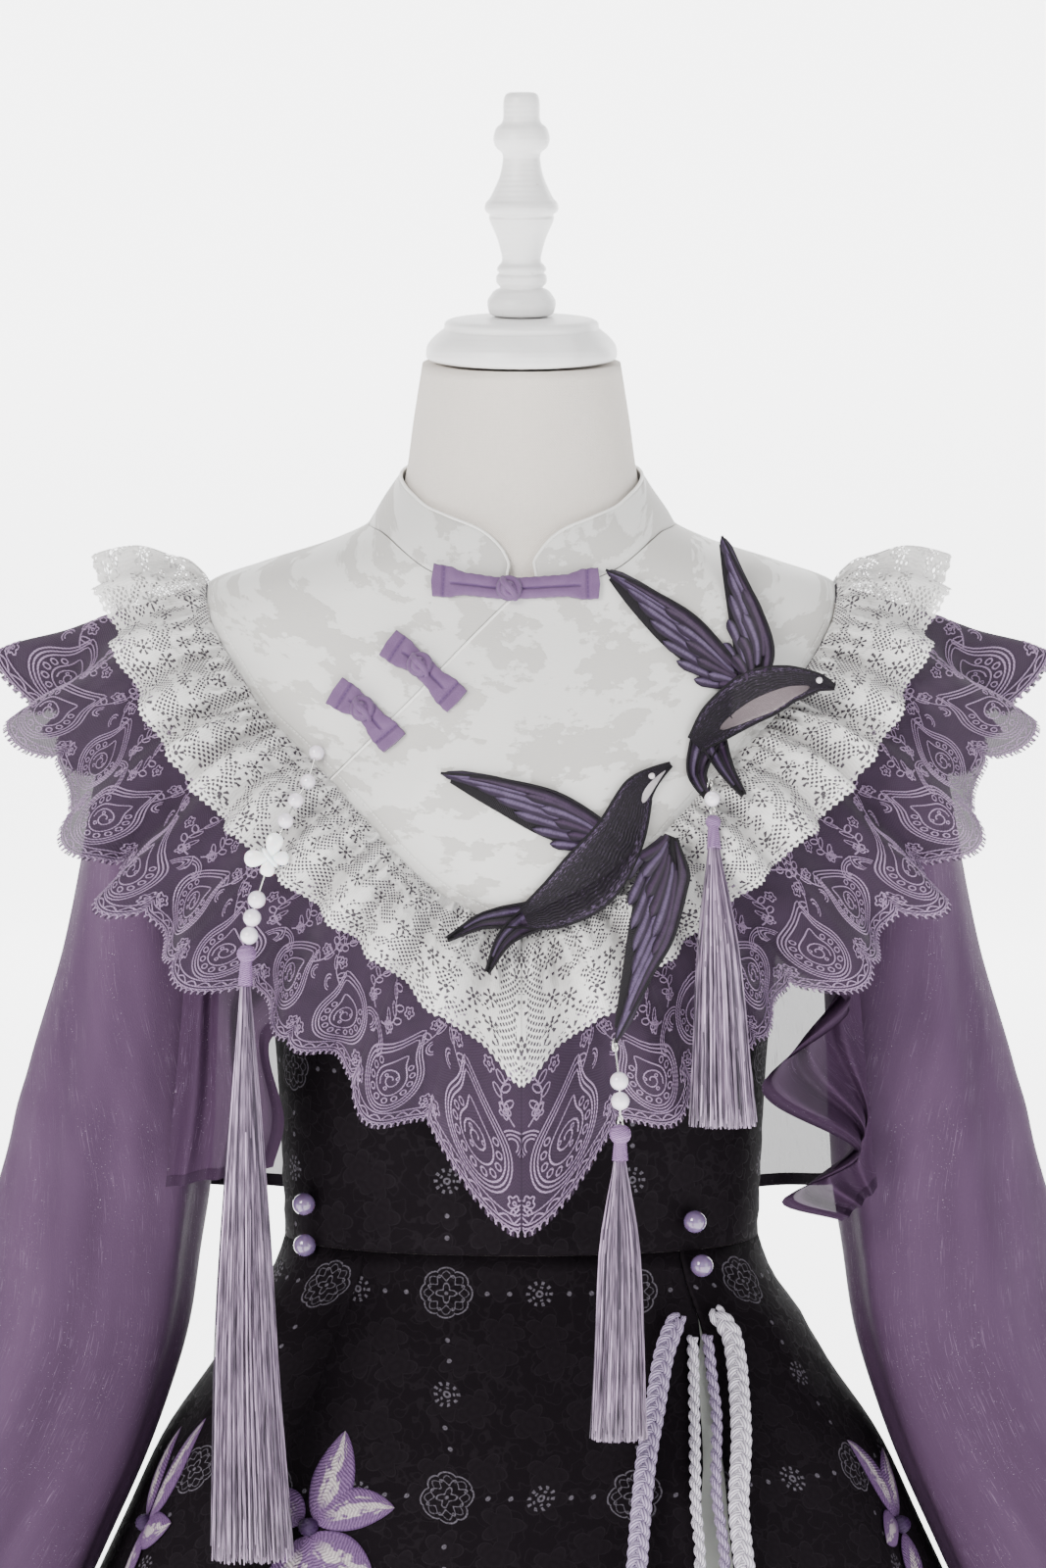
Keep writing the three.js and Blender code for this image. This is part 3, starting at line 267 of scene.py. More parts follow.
softbox("key", (-1.9, -2.6, 2.7), (0, 0, 1.2), 1.4, 1.4, 130, (1, 0.98, 0.96))
softbox("fill", (2.4, -2.4, 1.6), (0, 0, 1.1), 1.8, 1.8, 24, (0.96, 0.98, 1))
softbox("top", (0.2, 0.2, 3.3), (0, 0, 1.2), 1.8, 1.4, 34, (1, 1, 1))
softbox("rim", (1.7, 1.9, 2.2), (0, 0, 1.2), 0.8, 1.6, 22, (1, 1, 1))
sky = bpy.data.worlds.new("sky")
sky.use_nodes = True
sky.node_tree.nodes["Background"].inputs[0].default_value = (0.95, 0.96, 1, 1)
sky.node_tree.nodes["Background"].inputs[1].default_value = 0.5
bpy.context.scene.world = sky

# ---------------------------------------------------------------- The hip cords
# Four lilac cords hang from one place at the top of the slit: two flat plaits of three strands
# and two plain twisted cords, each ending in a wound knot. They are sewn on under the waist seam.
SKIRT = np.array([  # height, half width, front depth, back depth
    [480, 362, 318, 326], [600, 322, 275, 282], [700, 285, 235, 242], [800, 243, 190, 198],
    [859, 217, 163, 171], [908, 195, 140, 148], [950, 167, 118, 125], [978, 151, 104, 108],
    [1000, 136, 92, 88], [1019.4, 129.3, 85.3, 77.3],
])
BODY_POWER = 2.2


def smooth(table, column, at):
    """A cubic through a table's rows without overshoot: the slope at a row is the harmonic mean
    of the slopes beside it, or nought where they turn. The first column is what it is read by."""
    key, value = table[:, 0], table[:, column]
    secant = np.diff(value) / np.diff(key)
    before, after = secant[:-1], secant[1:]
    alike = before * after > 0
    inner = np.where(alike, 2 * before * after / np.where(alike, before + after, 1), 0)
    slope = np.concatenate([secant[:1], inner, secant[-1:]])
    at = np.asarray(at, float)
    row = np.clip(np.searchsorted(key, at, side="right") - 1, 0, len(key) - 2)
    width = key[row + 1] - key[row]
    t = np.clip((at - key[row]) / width, 0, 1)
    return (value[row] * (2 * t**3 - 3 * t**2 + 1) + slope[row] * width * (t**3 - 2 * t**2 + t)
            + value[row + 1] * (3 * t**2 - 2 * t**3) + slope[row + 1] * width * (t**3 - t**2))


def bent(wave):
    """A sine or cosine drawn towards a superellipse of the body's power."""
    return np.sign(wave) * np.abs(wave) ** (2 / BODY_POWER)


def before_skirt(x, z, stand):
    """A point in front of the skirt: its plain depth at x and z, and a stand further out."""
    rest = (1 - (np.abs(x) / smooth(SKIRT, 1, z)) ** BODY_POWER) ** (1 / BODY_POWER)
    return as_points(x, -smooth(SKIRT, 2, z) * rest - stand, z)


def run_along(path):
    """The length along a path from its start to each of its points."""
    return np.concatenate([[0], np.cumsum(np.linalg.norm(np.diff(path, axis=0), axis=1))])


def read_path(path, length, at):
    """The points of a path at given lengths."""
    return np.stack([np.interp(at, length, path[:, axis]) for axis in range(3)], -1)


def through(points, count):
    """A smooth path through points, read at even shares of its length."""
    points = np.asarray(points, float)
    place = np.arange(len(points), dtype=float)
    fine = np.linspace(0, len(points) - 1, 400)
    path = np.stack([smooth(as_points(place, points[:, axis]), 1, fine) for axis in range(3)], -1)
    length = run_along(path)
    return read_path(path, length, np.linspace(0, length[-1], count)), length[-1]


def beside(path, ahead=(0.0, -1.0, 0.0)):
    """Two directions square to a path at each of its points: across it, and towards ahead."""
    tangent = unit(np.gradient(path, axis=-2))
    across = unit(np.cross(tangent, np.broadcast_to(ahead, tangent.shape)))
    return across, np.cross(across, tangent)


def strand(path, radius, sides=8, ahead=(0.0, -1.0, 0.0)):
    """A round strand along a path: rings of a radius that may change along it, pinched shut at
    both ends. Its cloth runs round the strand and along it, in millimetres."""
    across, out = beside(path, ahead)
    turn = np.linspace(0, math.tau, sides + 1)
    radius = np.broadcast_to(radius, path.shape[:-1])[..., None, None]
    ring = across[..., None, :] * np.cos(turn)[:, None] + out[..., None, :] * np.sin(turn)[:, None]
    grid = path[..., None, :] + radius * ring
    grid = np.concatenate([np.broadcast_to(path[..., :1, None, :], grid[..., :1, :, :].shape), grid,
                           np.broadcast_to(path[..., -1:, None, :], grid[..., :1, :, :].shape)], -3)
    step = np.linalg.norm(np.diff(path, axis=-2), axis=-1)
    along = np.cumsum(np.concatenate([np.zeros_like(step[..., :1]), step], -1), -1)
    along = np.concatenate([along[..., :1], along, along[..., -1:]], -1)
    cloth = as_points(turn * radius.max(), along[..., None])
    return grid, cloth


def silk(name, light, dark, pitch, slant, shine=0.45):
    """Glossy twisted thread: slanting plies, with a painted highlight on their backs and painted shade
    between them.
    """
    finish = Finish(name, Roughness=shine, Specular_IOR_Level=0.4)
    around, along = finish.cloth()
    ply = ((along + around * slant) / pitch).fraction()
    # back runs from painted shade between the plies (0) to a painted highlight on each ply's back (1).
    back = 1 - abs(ply * 2 - 1) ** 2.0
    tone = finish.noise(around + along * 0.4, along, 3.0)
    finish.feed(Base_Color=(back * 0.75 + tone * 0.35).blend(dark, light),
                Normal=finish.bump(back + tone * 0.3, 0.0006))
    return finish.material


CORD_TOP, CORD_SWING, CORD_POINTS = 990, 0.045, 220
PLAIT_PITCH, PLAIT_WIDE, PLAIT_DEEP, PLAIT_STRAND = 21, 3.3, 1.5, 2.45
TWIST_PITCH, TWIST_REACH, TWIST_STRAND = 15, 1.5, 1.75
CORD_ROUTES = {  # width, stand, and the route's x and z
    "plait_left": (12, 2.9, [[84, 989], [76, 970], [71, 945], [66, 920], [63, 895], [60, 860], [58, 820]]),
    "plait_right": (12, 3.2, [[103, 990], [113, 976], [116, 955], [117, 928], [115, 895], [118, 859],
                              [121, 812]]),
    "inner_left": (7, 0.6, [[91.5, 977], [92, 955], [92, 930], [92, 900], [94, 870], [93, 838]]),
    "inner_right": (7, 0.6, [[99.5, 977], [102, 955], [104, 935], [103, 905], [107, 870], [108, 830]]),
}
# For each silk the light colour is the painted highlight on the plies and the dark colour the painted shade
# between them.
cord_lilac = silk("cord_lilac", (0.42, 0.34, 0.5), (0.05, 0.025, 0.08), 2.4, 1.2)
cord_white = silk("cord_white", (0.76, 0.72, 0.79), (0.12, 0.075, 0.16), 2.4, 1.2)


def wound_ball(middle, radius, squash=1.0, turns=7, swelling=0.05, cells=(25, 33)):
    """A ball of wound thread: a globe whose radius swells a little along slanting turns."""
    down, round_ = grid_of(*cells)
    polar, turn = down * math.pi, round_ * math.tau
    swell = radius * (1 + swelling * np.cos(turns * (polar * 2 + turn)) * np.sin(polar))
    grid = as_points(np.sin(polar) * np.cos(turn), np.sin(polar) * np.sin(turn), np.cos(polar) * squash)
    return np.asarray(middle) + grid * swell[..., None], as_points(turn * radius, polar * radius)


for name, (width, stand, route) in CORD_ROUTES.items():
    x, z = np.array(route, float).T
    knots = before_skirt(x, z, width / 2 + stand + CORD_SWING * (CORD_TOP - z))
    middle, length = through(knots, CORD_POINTS)
    across, out = beside(middle)
    plaited = name.startswith("plait")
    plies, pitch = (3, PLAIT_PITCH) if plaited else (2, TWIST_PITCH)
    turns = np.linspace(0, length / pitch, CORD_POINTS) + np.arange(plies)[:, None] / plies
    phase = (turns * math.tau)[..., None]
    if plaited:
        swing = np.sin(phase) * across * PLAIT_WIDE + np.sin(2 * phase) * out * PLAIT_DEEP
        radius = PLAIT_STRAND * np.sqrt(np.clip(np.linspace(0.3, 14, CORD_POINTS), 0, 1))
    else:
        swing = np.cos(phase) * across * TWIST_REACH + np.sin(phase) * out * TWIST_REACH
        radius = TWIST_STRAND
    shade = cord_white if name in ("plait_right", "inner_left") else cord_lilac
    cord = lay("cord_" + name, [strand(middle + swing, radius)], weld=False)
    worn(cord, shade, "cord_" + name)
    way = unit(middle[-1] - middle[-3])
    radius = width / 2 * 1.1 + 1.5
    ball = wound_ball(middle[-1] + way * (radius + 0.3), radius)
    knot = worn(lay("knot_" + name, [ball]), cord_lilac, "knot_" + name)

# ---------------------------------------------------------------- The dress form
# A moulded body covered in off-white linen, on a steel pole and a turned, painted foot. A turned
# cap closes the neck and carries a finial; both are wood in satin white paint, a little worn.
TORSO = np.array([  # height, half width, front depth, back depth
    [860, 152, 96, 102], [910, 152, 96, 101], [960, 143, 91, 90], [1000, 130, 85, 78], [1020, 128, 84, 76],
    [1050, 129, 84, 74], [1110, 132, 92, 78], [1180, 138, 109, 88], [1235, 143, 118, 97],
    [1270, 147, 115, 102], [1300, 155, 106, 104], [1335, 170, 94, 102], [1358, 176, 84, 94],
    [1372, 165, 79, 86], [1384, 137, 76, 79], [1396, 101, 71, 72], [1406, 80, 65, 66], [1418, 68, 59, 61],
    [1436, 63, 54, 58], [1465, 59, 50, 55], [1497, 54, 48, 54],
], float)
NECK_LEAN, LEAN_START, NECK_TOP, TORSO_BOTTOM = 0.09, 1440, 1497, 860


def on_body(fraction, z, side, stand=0.0):
    """A point off the form: fraction of its half width, height, front (-1) or back (1), and a
    distance along the skin's normal. Each level is a superellipse of power 2.2."""
    fraction, z, side = np.broadcast_arrays(np.clip(fraction, -1, 1), z, side)
    half, slope = smooth(TORSO, 1, z), (smooth(TORSO, 1, z + 0.5) - smooth(TORSO, 1, z - 0.5))
    front, back = smooth(TORSO, 2, z), smooth(TORSO, 3, z)
    depth = np.where(side < 0, front, back)
    lean = np.where(side < 0, smooth(TORSO, 2, z + 0.5) - smooth(TORSO, 2, z - 0.5),
                    smooth(TORSO, 3, z + 0.5) - smooth(TORSO, 3, z - 0.5))
    width = np.abs(fraction)
    rest = np.clip(1 - width**BODY_POWER, 0, 1) ** (1 / BODY_POWER)
    normal = as_points(np.sign(fraction) * width ** (BODY_POWER - 1) / half,
                       side * rest ** (BODY_POWER - 1) / depth,
                       -(width**BODY_POWER) * slope / half - rest**BODY_POWER * lean / depth)
    normal = unit(normal)
    skin = as_points(fraction * half, side * depth * rest, z)
    return skin + normal * np.asarray(stand, float)[..., None]


def across_body(x, z, side, stand=0.0):
    """The same at a true distance across from the middle."""
    return on_body(x / smooth(TORSO, 1, z), z, side, stand)


def out_of_body(x, z):
    """One millimetre straight out of the form's front at x and z."""
    return across_body(x, z, -1, 1.0) - across_body(x, z, -1, 0.0)


def round_body(angle, z, stand=0.0):
    """The same at an angle round the form: 0 is the middle front and a quarter turn is +X."""
    return on_body(bent(np.sin(angle)), z, np.where(np.cos(angle) >= 0, -1, 1), stand)


rise, round_ = grid_of(112, 91)
angle = round_ * math.tau
height = TORSO_BOTTOM + rise * (NECK_TOP - TORSO_BOTTOM)
skin = round_body(angle, height)
t = np.clip((height - LEAN_START) / (NECK_TOP - LEAN_START), 0, 1)
skin[..., 2] += skin[..., 1] * NECK_LEAN * t * t * (3 - 2 * t)
floor_ring = np.concatenate([skin[:1] * [0, 0, 1], skin, skin[-1:] * [0, 0, 1]])
cloth = as_points(angle * 62, height)
torso = lay("torso_linen", [(floor_ring, np.concatenate([cloth[:1], cloth, cloth[-1:]]))])
linen = Finish("linen", Roughness=0.92, Sheen_Weight=0.25, Specular_IOR_Level=0.3)
weft, warp = linen.cloth()
slub = linen.noise(weft * 0.12, warp, 0.7, 3) + linen.noise(weft, warp * 0.12, 0.7, 3)
threads = weft.ripple(0.9) * warp.ripple(0.9)
soil = linen.noise(weft, warp, 45, 3)
tone = slub * 0.35 + soil * 0.3 + threads * 0.12
linen.feed(Base_Color=tone.blend((0.6, 0.545, 0.49), (0.83, 0.77, 0.7)),
           Normal=linen.bump(threads * 0.5 + slub * 0.5, 0.00025))
worn(torso, linen.material, "torso")


def turned(profile, sides=56):
    """A turned body: a profile of radius and height, its corners cut three times, spun round Z."""
    profile = np.array([[0, profile[0][1]], *profile, [0, profile[-1][1]]], float)
    for _ in range(3):
        inner = np.concatenate([profile[:-1, None] * 0.8 + profile[1:, None] * 0.2,
                                profile[:-1, None] * 0.2 + profile[1:, None] * 0.8], 1).reshape(-1, 2)
        profile = np.concatenate([profile[:1], inner, profile[-1:]])
    turn = np.linspace(0, math.tau, sides + 1)
    radius, height = profile[:, :1], profile[:, 1:] + 0 * turn
    return as_points(radius * np.cos(turn), radius * np.sin(turn), height)


def nodding(grid):
    """Tips a grid with the neck: a turn about X at the neck's top."""
    lean = math.atan(NECK_LEAN)
    x, y, z = np.moveaxis(grid, -1, 0)
    return as_points(x, y * math.cos(lean) - z * math.sin(lean),
                     NECK_TOP + 0.3 + y * math.sin(lean) + z * math.cos(lean))


def white_paint(name, seed):
    """Satin paint on turned wood: faint rings, brush marks, and chips that show the wood."""
    finish = Finish(name, Roughness=0.42, Coat_Weight=0.15, Coat_Roughness=0.3)
    x, y, z = finish.place()
    blot = finish.noise(x + seed, y + z * 1.7, 7, 4, 0.7)
    fleck = finish.noise(x * 1.3 - seed, z + y, 2.2, 3, 0.6)
    chip = (blot * fleck).fade(0.405, 0.425)
    grime = finish.noise(x + y, z, 22, 3)
    finish.feed(Base_Color=chip.blend(grime.blend((0.66, 0.65, 0.64), (0.85, 0.845, 0.84)),
                                      (0.48, 0.42, 0.36)),
                Roughness=grime * 0.2 + chip * 0.3 + 0.3,
                Normal=finish.bump((z * 2.2).wave() * 0.12 + blot * 0.3 - chip, 0.00035))
    return finish.material


CAP = [[52, 0], [52, 9], [48, 14], [43, 18], [42, 18.5], [42, 22], [38, 24], [20, 25]]
FINIAL = [[17, 0], [18.6, 5], [18.6, 9], [15, 14], [11, 15.5], [13.8, 18], [13.8, 22], [12, 23.5],
          [13.6, 25], [13, 27], [10, 30], [13, 42], [18, 53], [17, 55], [20, 57], [20, 61], [17, 64],
          [11.5, 76], [9.6, 88], [14, 91], [15.6, 96], [14, 102], [9.8, 105], [10, 117], [8, 121]]
FOOT = [[165, 0], [165, 10], [160, 16], [148, 20], [140, 26], [60, 32], [40, 42], [24, 52], [20, 70]]
POLE_RADIUS, FOOT_TOP = 12, 70
cap_paint = white_paint("white_paint", 3)
turnings = {
    "neck_cap": nodding(turned(CAP)),
    "finial": nodding(turned(FINIAL) + [0, 0, CAP[-1][1] + 0.3]),
    "base": turned(FOOT, sides=120),
}
for node, grid in turnings.items():
    worn(lay(node + "_turned", [(grid, None)]), cap_paint, node)

steel = Finish("steel", Metallic=1.0, Base_Color=(0.62, 0.62, 0.63, 1))
steel_x, steel_y, steel_z = steel.place()
brushed = steel.noise(steel_x * 3 + steel_y * 3, steel_z * 0.04, 0.6, 4)
steel.feed(Roughness=brushed * 0.25 + 0.22, Normal=steel.bump(brushed, 0.00005))
POLE_PROFILE = [[POLE_RADIUS, FOOT_TOP + 0.3], [POLE_RADIUS, TORSO_BOTTOM - 0.3]]
pole = lay("pole_tube", [(turned(POLE_PROFILE, sides=48), None)])
worn(pole, steel.material, "pole")

# ---------------------------------------------------------------- The dress
# A sleeveless dress in black jacquard: a fitted bodice on two straps, seamed at the waist to a
# flared skirt of panels with a slit over the hip, where a pale underskirt shows. The weave has
# tonal flowers and a lattice of small grey medallions and rosettes; the lining is plain.
WAIST, BODICE_TOP, SKIRT_HEM = 1020, 1300, 480
DRESS_LAYER, STRAP_LAYER, CLOTH, BLOOM_REACH = 1.3, 1.9, 1.2, 0.42
MEDALLION_PITCH, MEDALLION_ORIGIN = (100, 116), (-40, 999)


def ironed(grid):
    """The cloth flattened: the length across each row from its middle column, and the mean
    length down the columns, counted upwards to the grid's top height."""
    across = np.cumsum(np.linalg.norm(np.diff(grid, axis=1, prepend=grid[:, :1]), axis=-1), 1)
    down = np.cumsum(np.linalg.norm(np.diff(grid, axis=0, prepend=grid[:1]), axis=-1).mean(1))
    centre = across[:, (grid.shape[1] - 1) // 2][:, None]
    return as_points(across - centre, grid[0, :, 2].max() - down[:, None])


def sheet(name, node, grid, finish, flat, thickness=None, cloth=None, area=None,
          inside=UPRIGHT):
    """A cut piece of cloth on its surface: a shell about the surface, or one layer where it is
    sheer."""
    piece = lay(name, [(grid, ironed(grid) if cloth is None else cloth)], inside=inside, weld=False)
    if thickness:
        shell = piece.modifiers.new("thickness", "SOLIDIFY")
        shell.thickness, shell.offset, shell.use_even_offset = thickness / 1000, 0, False
    worn(piece, finish, node)
    return piece


def flower(finish, u, v, pitch, petals):
    """Scattered flowers: in each cell of an uneven grid, the height of a bloom whose edge
    swings in and out with its petals; and the angle and radius in it."""
    point = finish.node("CombineXYZ", None, {0: u / pitch, 1: v / pitch})
    settings = {"voronoi_dimensions": "2D", "feature": "F1"}
    centre = finish.node("TexVoronoi", settings, {"Vector": point, "Scale": 1.0, "Randomness": 0.75}, out=2)
    away = finish.node("VectorMath", {"operation": "SUBTRACT"}, {0: point, 1: centre})
    x, y = (finish.node("SeparateXYZ", None, {0: away}, out=axis) for axis in range(2))
    radius = (x * x + y * y).root()
    turn = y.math("ARCTAN2", x)
    lobe = abs((turn * (petals / 2)).swing())
    edge = lobe * (0.45 * BLOOM_REACH) + 0.55 * BLOOM_REACH
    return edge - radius, turn, radius


def black_jacquard():
    """Black satin ground; tonal flowers and leaves in low relief; a lattice of medallions with a
    rosette half way along each side and two dots between; fine twill over all."""
    finish = Finish("black_jacquard", Specular_IOR_Level=0.05)
    u, v = finish.cloth()
    folded = []
    for place, pitch, origin in zip((u, v), MEDALLION_PITCH, MEDALLION_ORIGIN):
        folded += [(((place - origin) / pitch + 0.5).fraction() - 0.5) * pitch,
                   (((place - origin) / pitch).fraction() - 0.5) * pitch]
    a, a_half, b, b_half = folded

    def medallion(x, y):
        radius = (x * x + y * y).root() / 14.5
        turn = y.math("ARCTAN2", x)
        edge = abs((turn * 4).swing()) ** 0.5 * 0.13 + 0.84
        petal = (turn * 8).swing()
        line = abs(radius - edge).fade(0.05, 0.02)
        inner = abs(radius - 0.6 + petal * 0.12).fade(0.05, 0.02)
        arc = abs(radius - 0.74 - petal * 0.1).fade(0.045, 0.02)
        heart = abs(radius - 0.28 - (turn * 4).swing() * 0.1).fade(0.06, 0.02)
        return line.most(inner).most(arc * 0.8).most(heart).most(radius.fade(0.1, 0.06))

    def rosette(x, y):
        radius = (x * x + y * y).root() / 7.5
        turn = y.math("ARCTAN2", x)
        dash = abs(radius - 0.82).fade(0.2, 0.1) * (turn * 10).swing().fade(0.0, 0.5)
        spoke = abs(radius - 0.5).fade(0.12, 0.05) * (turn * 5).swing().fade(0.1, 0.6)
        return dash.most(spoke).most(abs(radius - 0.2).fade(0.12, 0.05))

    def dot(x, y):
        return (x * x + y * y).root().fade(1.7, 1.1)

    motif = medallion(a, b).most(rosette(a_half, b)).most(rosette(a, b_half))
    for out_x, out_y in ((22, 27), (34, 39)):
        motif = motif.most(dot(abs(a) - out_x, b)).most(dot(a, abs(b) - out_y))
    bloom, turn, radius = flower(finish, u, v, 27, 5)
    vein = ((radius * 42).wave() * 0.5 + 0.5) * bloom.fade(0.0, 0.02)
    stem = abs(finish.noise(u, v, 9, 1) - 0.5).fade(0.035, 0.015) * (1 - bloom.fade(-0.03, 0.0))
    inside = bloom.fade(0.0, 0.02) * 0.2 + vein * 0.2
    relief = (abs(bloom).fade(0.03, 0.01) * 0.8).most(inside).most(stem * 0.5)
    twill = (u + v).ripple(0.8) * 0.5 + 0.5
    fleck = finish.noise(u, v, 0.9, 2)
    ground = relief.blend((0.0044, 0.0031, 0.0043), (0.0085, 0.0064, 0.0084))
    thread = (motif * (fleck * 1.3)).fade(0.15, 0.95)
    finish.feed(Base_Color=thread.blend(ground, (0.1, 0.09, 0.108)),
                Roughness=0.78 - relief * 0.25 + fleck * 0.1,
                Normal=finish.bump(relief * 0.6 + twill * 0.14 + motif * 0.5, 0.0003))
    return finish.material


jacquard = black_jacquard()


def creased(grid, height, reach, strength):
    """Soft pulls across the cloth where it is drawn in: waves across the height that die away
    from a level; the front moves out by them."""
    x, z = grid[..., 0], grid[..., 2]
    fade = np.exp(-(((z - height) / reach) ** 2))
    wave = np.sin(z * 0.36 + x * 0.05 + 1.3 * np.sin(x * 0.045)) + 0.6 * np.sin(z * 0.21 - x * 0.035 + 2)
    outward = unit(grid * [1, 1, 0])
    return grid + outward * (strength * fade * (wave + 0.6))[..., None]


rise, share = grid_of(44, 81)
bodice_angle = {"bodice_front": -math.pi / 2, "bodice_back": math.pi / 2}
for node, start in bodice_angle.items():
    angle = start + share * math.pi
    grid = round_body(angle, BODICE_TOP - rise * (BODICE_TOP - WAIST), DRESS_LAYER)
    grid = creased(grid, 1045, 40, 0.35)
    sheet(node + "_jacquard", node, grid, jacquard, (0.43, 0.3),
          thickness=CLOTH, area=0.117)

STRAP_MIDDLE, STRAP_HALF, SHOULDER_LEVELS = 109, 10, (1358, 1436)


def ridge_height(x):
    """The height of the shoulder's ridge, where the form is as wide as x."""
    levels = np.linspace(*SHOULDER_LEVELS, 2000)
    return np.interp(-np.asarray(x, float), -smooth(TORSO, 1, levels), levels)


over, edge = grid_of(80, 7)
for hand, side_name in ((-1, "left"), (1, "right")):
    x = STRAP_MIDDLE + (edge * 2 - 1) * STRAP_HALF
    level = 1 - np.abs(over * 2 - 1)
    z = BODICE_TOP + 1.2 + (ridge_height(x) - BODICE_TOP - 1.2) * (1 - (1 - level) ** 2)
    grid = across_body(hand * x, z, np.where(over < 0.5, -1, 1), STRAP_LAYER)
    sheet("strap_" + side_name + "_jacquard", "strap_" + side_name, grid, jacquard,
          (0.02, 0.285), thickness=CLOTH)

SLIT = np.array([[480, 0.205, 0.42], [859, 0.4, 0.5], [960, 0.585, 0.625], [990, 0.677, 0.683],
                 [1020, 0.677, 0.683]])
SIDE_SEAM, BACK_SEAM, FLUTES, FLUTE_DEPTH = 0.68, 2.23, 12, 15


def on_skirt(angle, z, fluted=1.0, inset=0.0):
    """A point of the skirt: a superellipse that widens to the hem, with twelve flutes whose
    depth grows as the skirt flares."""
    half = smooth(SKIRT, 1, z) - inset
    depth = np.where(np.cos(angle) >= 0, smooth(SKIRT, 2, z), smooth(SKIRT, 3, z)) - inset
    flare = np.clip((WAIST - z) / (WAIST - SKIRT_HEM), 0, 1)
    flute = fluted * FLUTE_DEPTH * flare**1.3 * np.cos(FLUTES * angle + 0.5)
    return as_points(bent(np.sin(angle)) * (half + flute), -bent(np.cos(angle)) * (depth + flute), z)


def slit_front(z):
    """The angle of the slit's front edge at a height."""
    return smooth(SLIT, 1, z)


def slit_side(z):
    """The angle of the slit's side edge at a height."""
    return smooth(SLIT, 2, z)


fall, share = grid_of(62, 61)
z = WAIST - 0.3 - fall * (WAIST - 0.3 - SKIRT_HEM)
panels = {  # from one edge to the other, and the cut: wide and long, area
    "skirt_front": (-SIDE_SEAM + 0 * z, slit_front(z), (0.5, 0.6), 0.146),
    "skirt_right": (slit_side(z), BACK_SEAM + 0 * z, (0.66, 0.6), 0.246),
    "skirt_left": (-BACK_SEAM + 0 * z, -SIDE_SEAM + 0 * z, (0.62, 0.6), 0.22),
    "skirt_back": (BACK_SEAM + 0 * z, math.tau - BACK_SEAM + 0 * z, (0.66, 0.6), 0.25),
}
for node, (start, end, flat, area) in panels.items():
    angle = start + share * (end - start)
    grid = creased(on_skirt(angle, z), 985, 28, 0.3)
    cloth = ironed(grid)
    if node == "skirt_front":
        at_middle = np.take_along_axis(cloth[..., 0], np.argmin(np.abs(angle), 1)[:, None], 1)
        cloth = as_points(cloth[..., 0] - at_middle, cloth[..., 1])
    sheet(node + "_jacquard", node, grid, jacquard, flat,
          thickness=CLOTH, cloth=cloth, area=area)

STRIP_INSET = np.array([[480, 21], [859, 8], [950, 3.3], [1000, 1.6]])
STRIP_LAP, STRIP_TOP, STRIP_SHORT = 0.09, 1000, 8
fall, share = grid_of(80, 17)
z = STRIP_TOP - fall * (STRIP_TOP - SKIRT_HEM - STRIP_SHORT)
angle = slit_front(z) - STRIP_LAP + share * (slit_side(z) - slit_front(z) + 2 * STRIP_LAP)
lining = Finish("pale_cotton", Roughness=0.85, Sheen_Weight=0.2)
weft, warp = lining.cloth()
plain = weft.ripple(0.7) * warp.ripple(0.7)
lining.feed(Base_Color=lining.noise(weft, warp, 30, 3).blend((0.6, 0.63, 0.56), (0.78, 0.8, 0.75)),
            Normal=lining.bump(plain, 0.00015))
sheet("underskirt_strip", "underskirt", on_skirt(angle, z, 0.0, smooth(STRIP_INSET, 1, z)), lining.material,
      (0.2, 0.56), thickness=1.0, area=0.06)

# ---------------------------------------------------------------- The chiffon
# Two fronts that hang open from the yoke's seam, a straight back, and two long wide sleeves set
# in at the shoulder. All are sheer mauve chiffon with fine glitter threads woven along the
# length, finished with a narrow double-turned hem that looks darker.
SHOULDER_HALF, TIP_LIFT, SEAM_SHIFT = 165, 2.5, 0.2
CHIFFON_LAYER, YOKE_LAYER, CHIFFON_CLEARANCE = 3.0, 5.0, 1.9
FRONT_SEAM = np.array([[0, 165, 1371.8], [1, 164, 1366], [2, 157, 1351], [3, 145, 1331], [4, 132, 1311],
                       [5, 115, 1294], [6, 99, 1278], [7, 82, 1260], [8, 63, 1239], [9, 41, 1220],
                       [10, 0, 1199]], float)
BACK_SEAM_LINE = np.array([[0, 165, 1371.8], [1, 164, 1364], [2, 156, 1345], [3, 138, 1322],
                           [4, 112, 1301], [5, 82, 1283], [6, 45, 1268], [7, 0, 1262]], float)


def by_length(path):
    """A path of points that is read by shares of its true length."""
    length = run_along(path)
    return lambda share: read_path(path, length / length[-1], share)


def seam_line(seam, side, layer):
    """The yoke's seam from the shoulder's tip to the middle, on a layer of the body that rises
    a little towards the tip."""
    row = np.linspace(0, seam[-1, 0], 900)
    x = smooth(seam, 1, row)
    path = across_body(x, smooth(seam, 2, row), side, layer + TIP_LIFT * (x / SHOULDER_HALF) ** 8)
    path[:, 1] = np.minimum(path[:, 1], 0) if side < 0 else np.maximum(path[:, 1], 0)
    return by_length(path)


def place_at(table, share):
    """The point that a table gives at a share."""
    return np.stack([smooth(table, column, share) for column in (1, 2, 3)], -1)


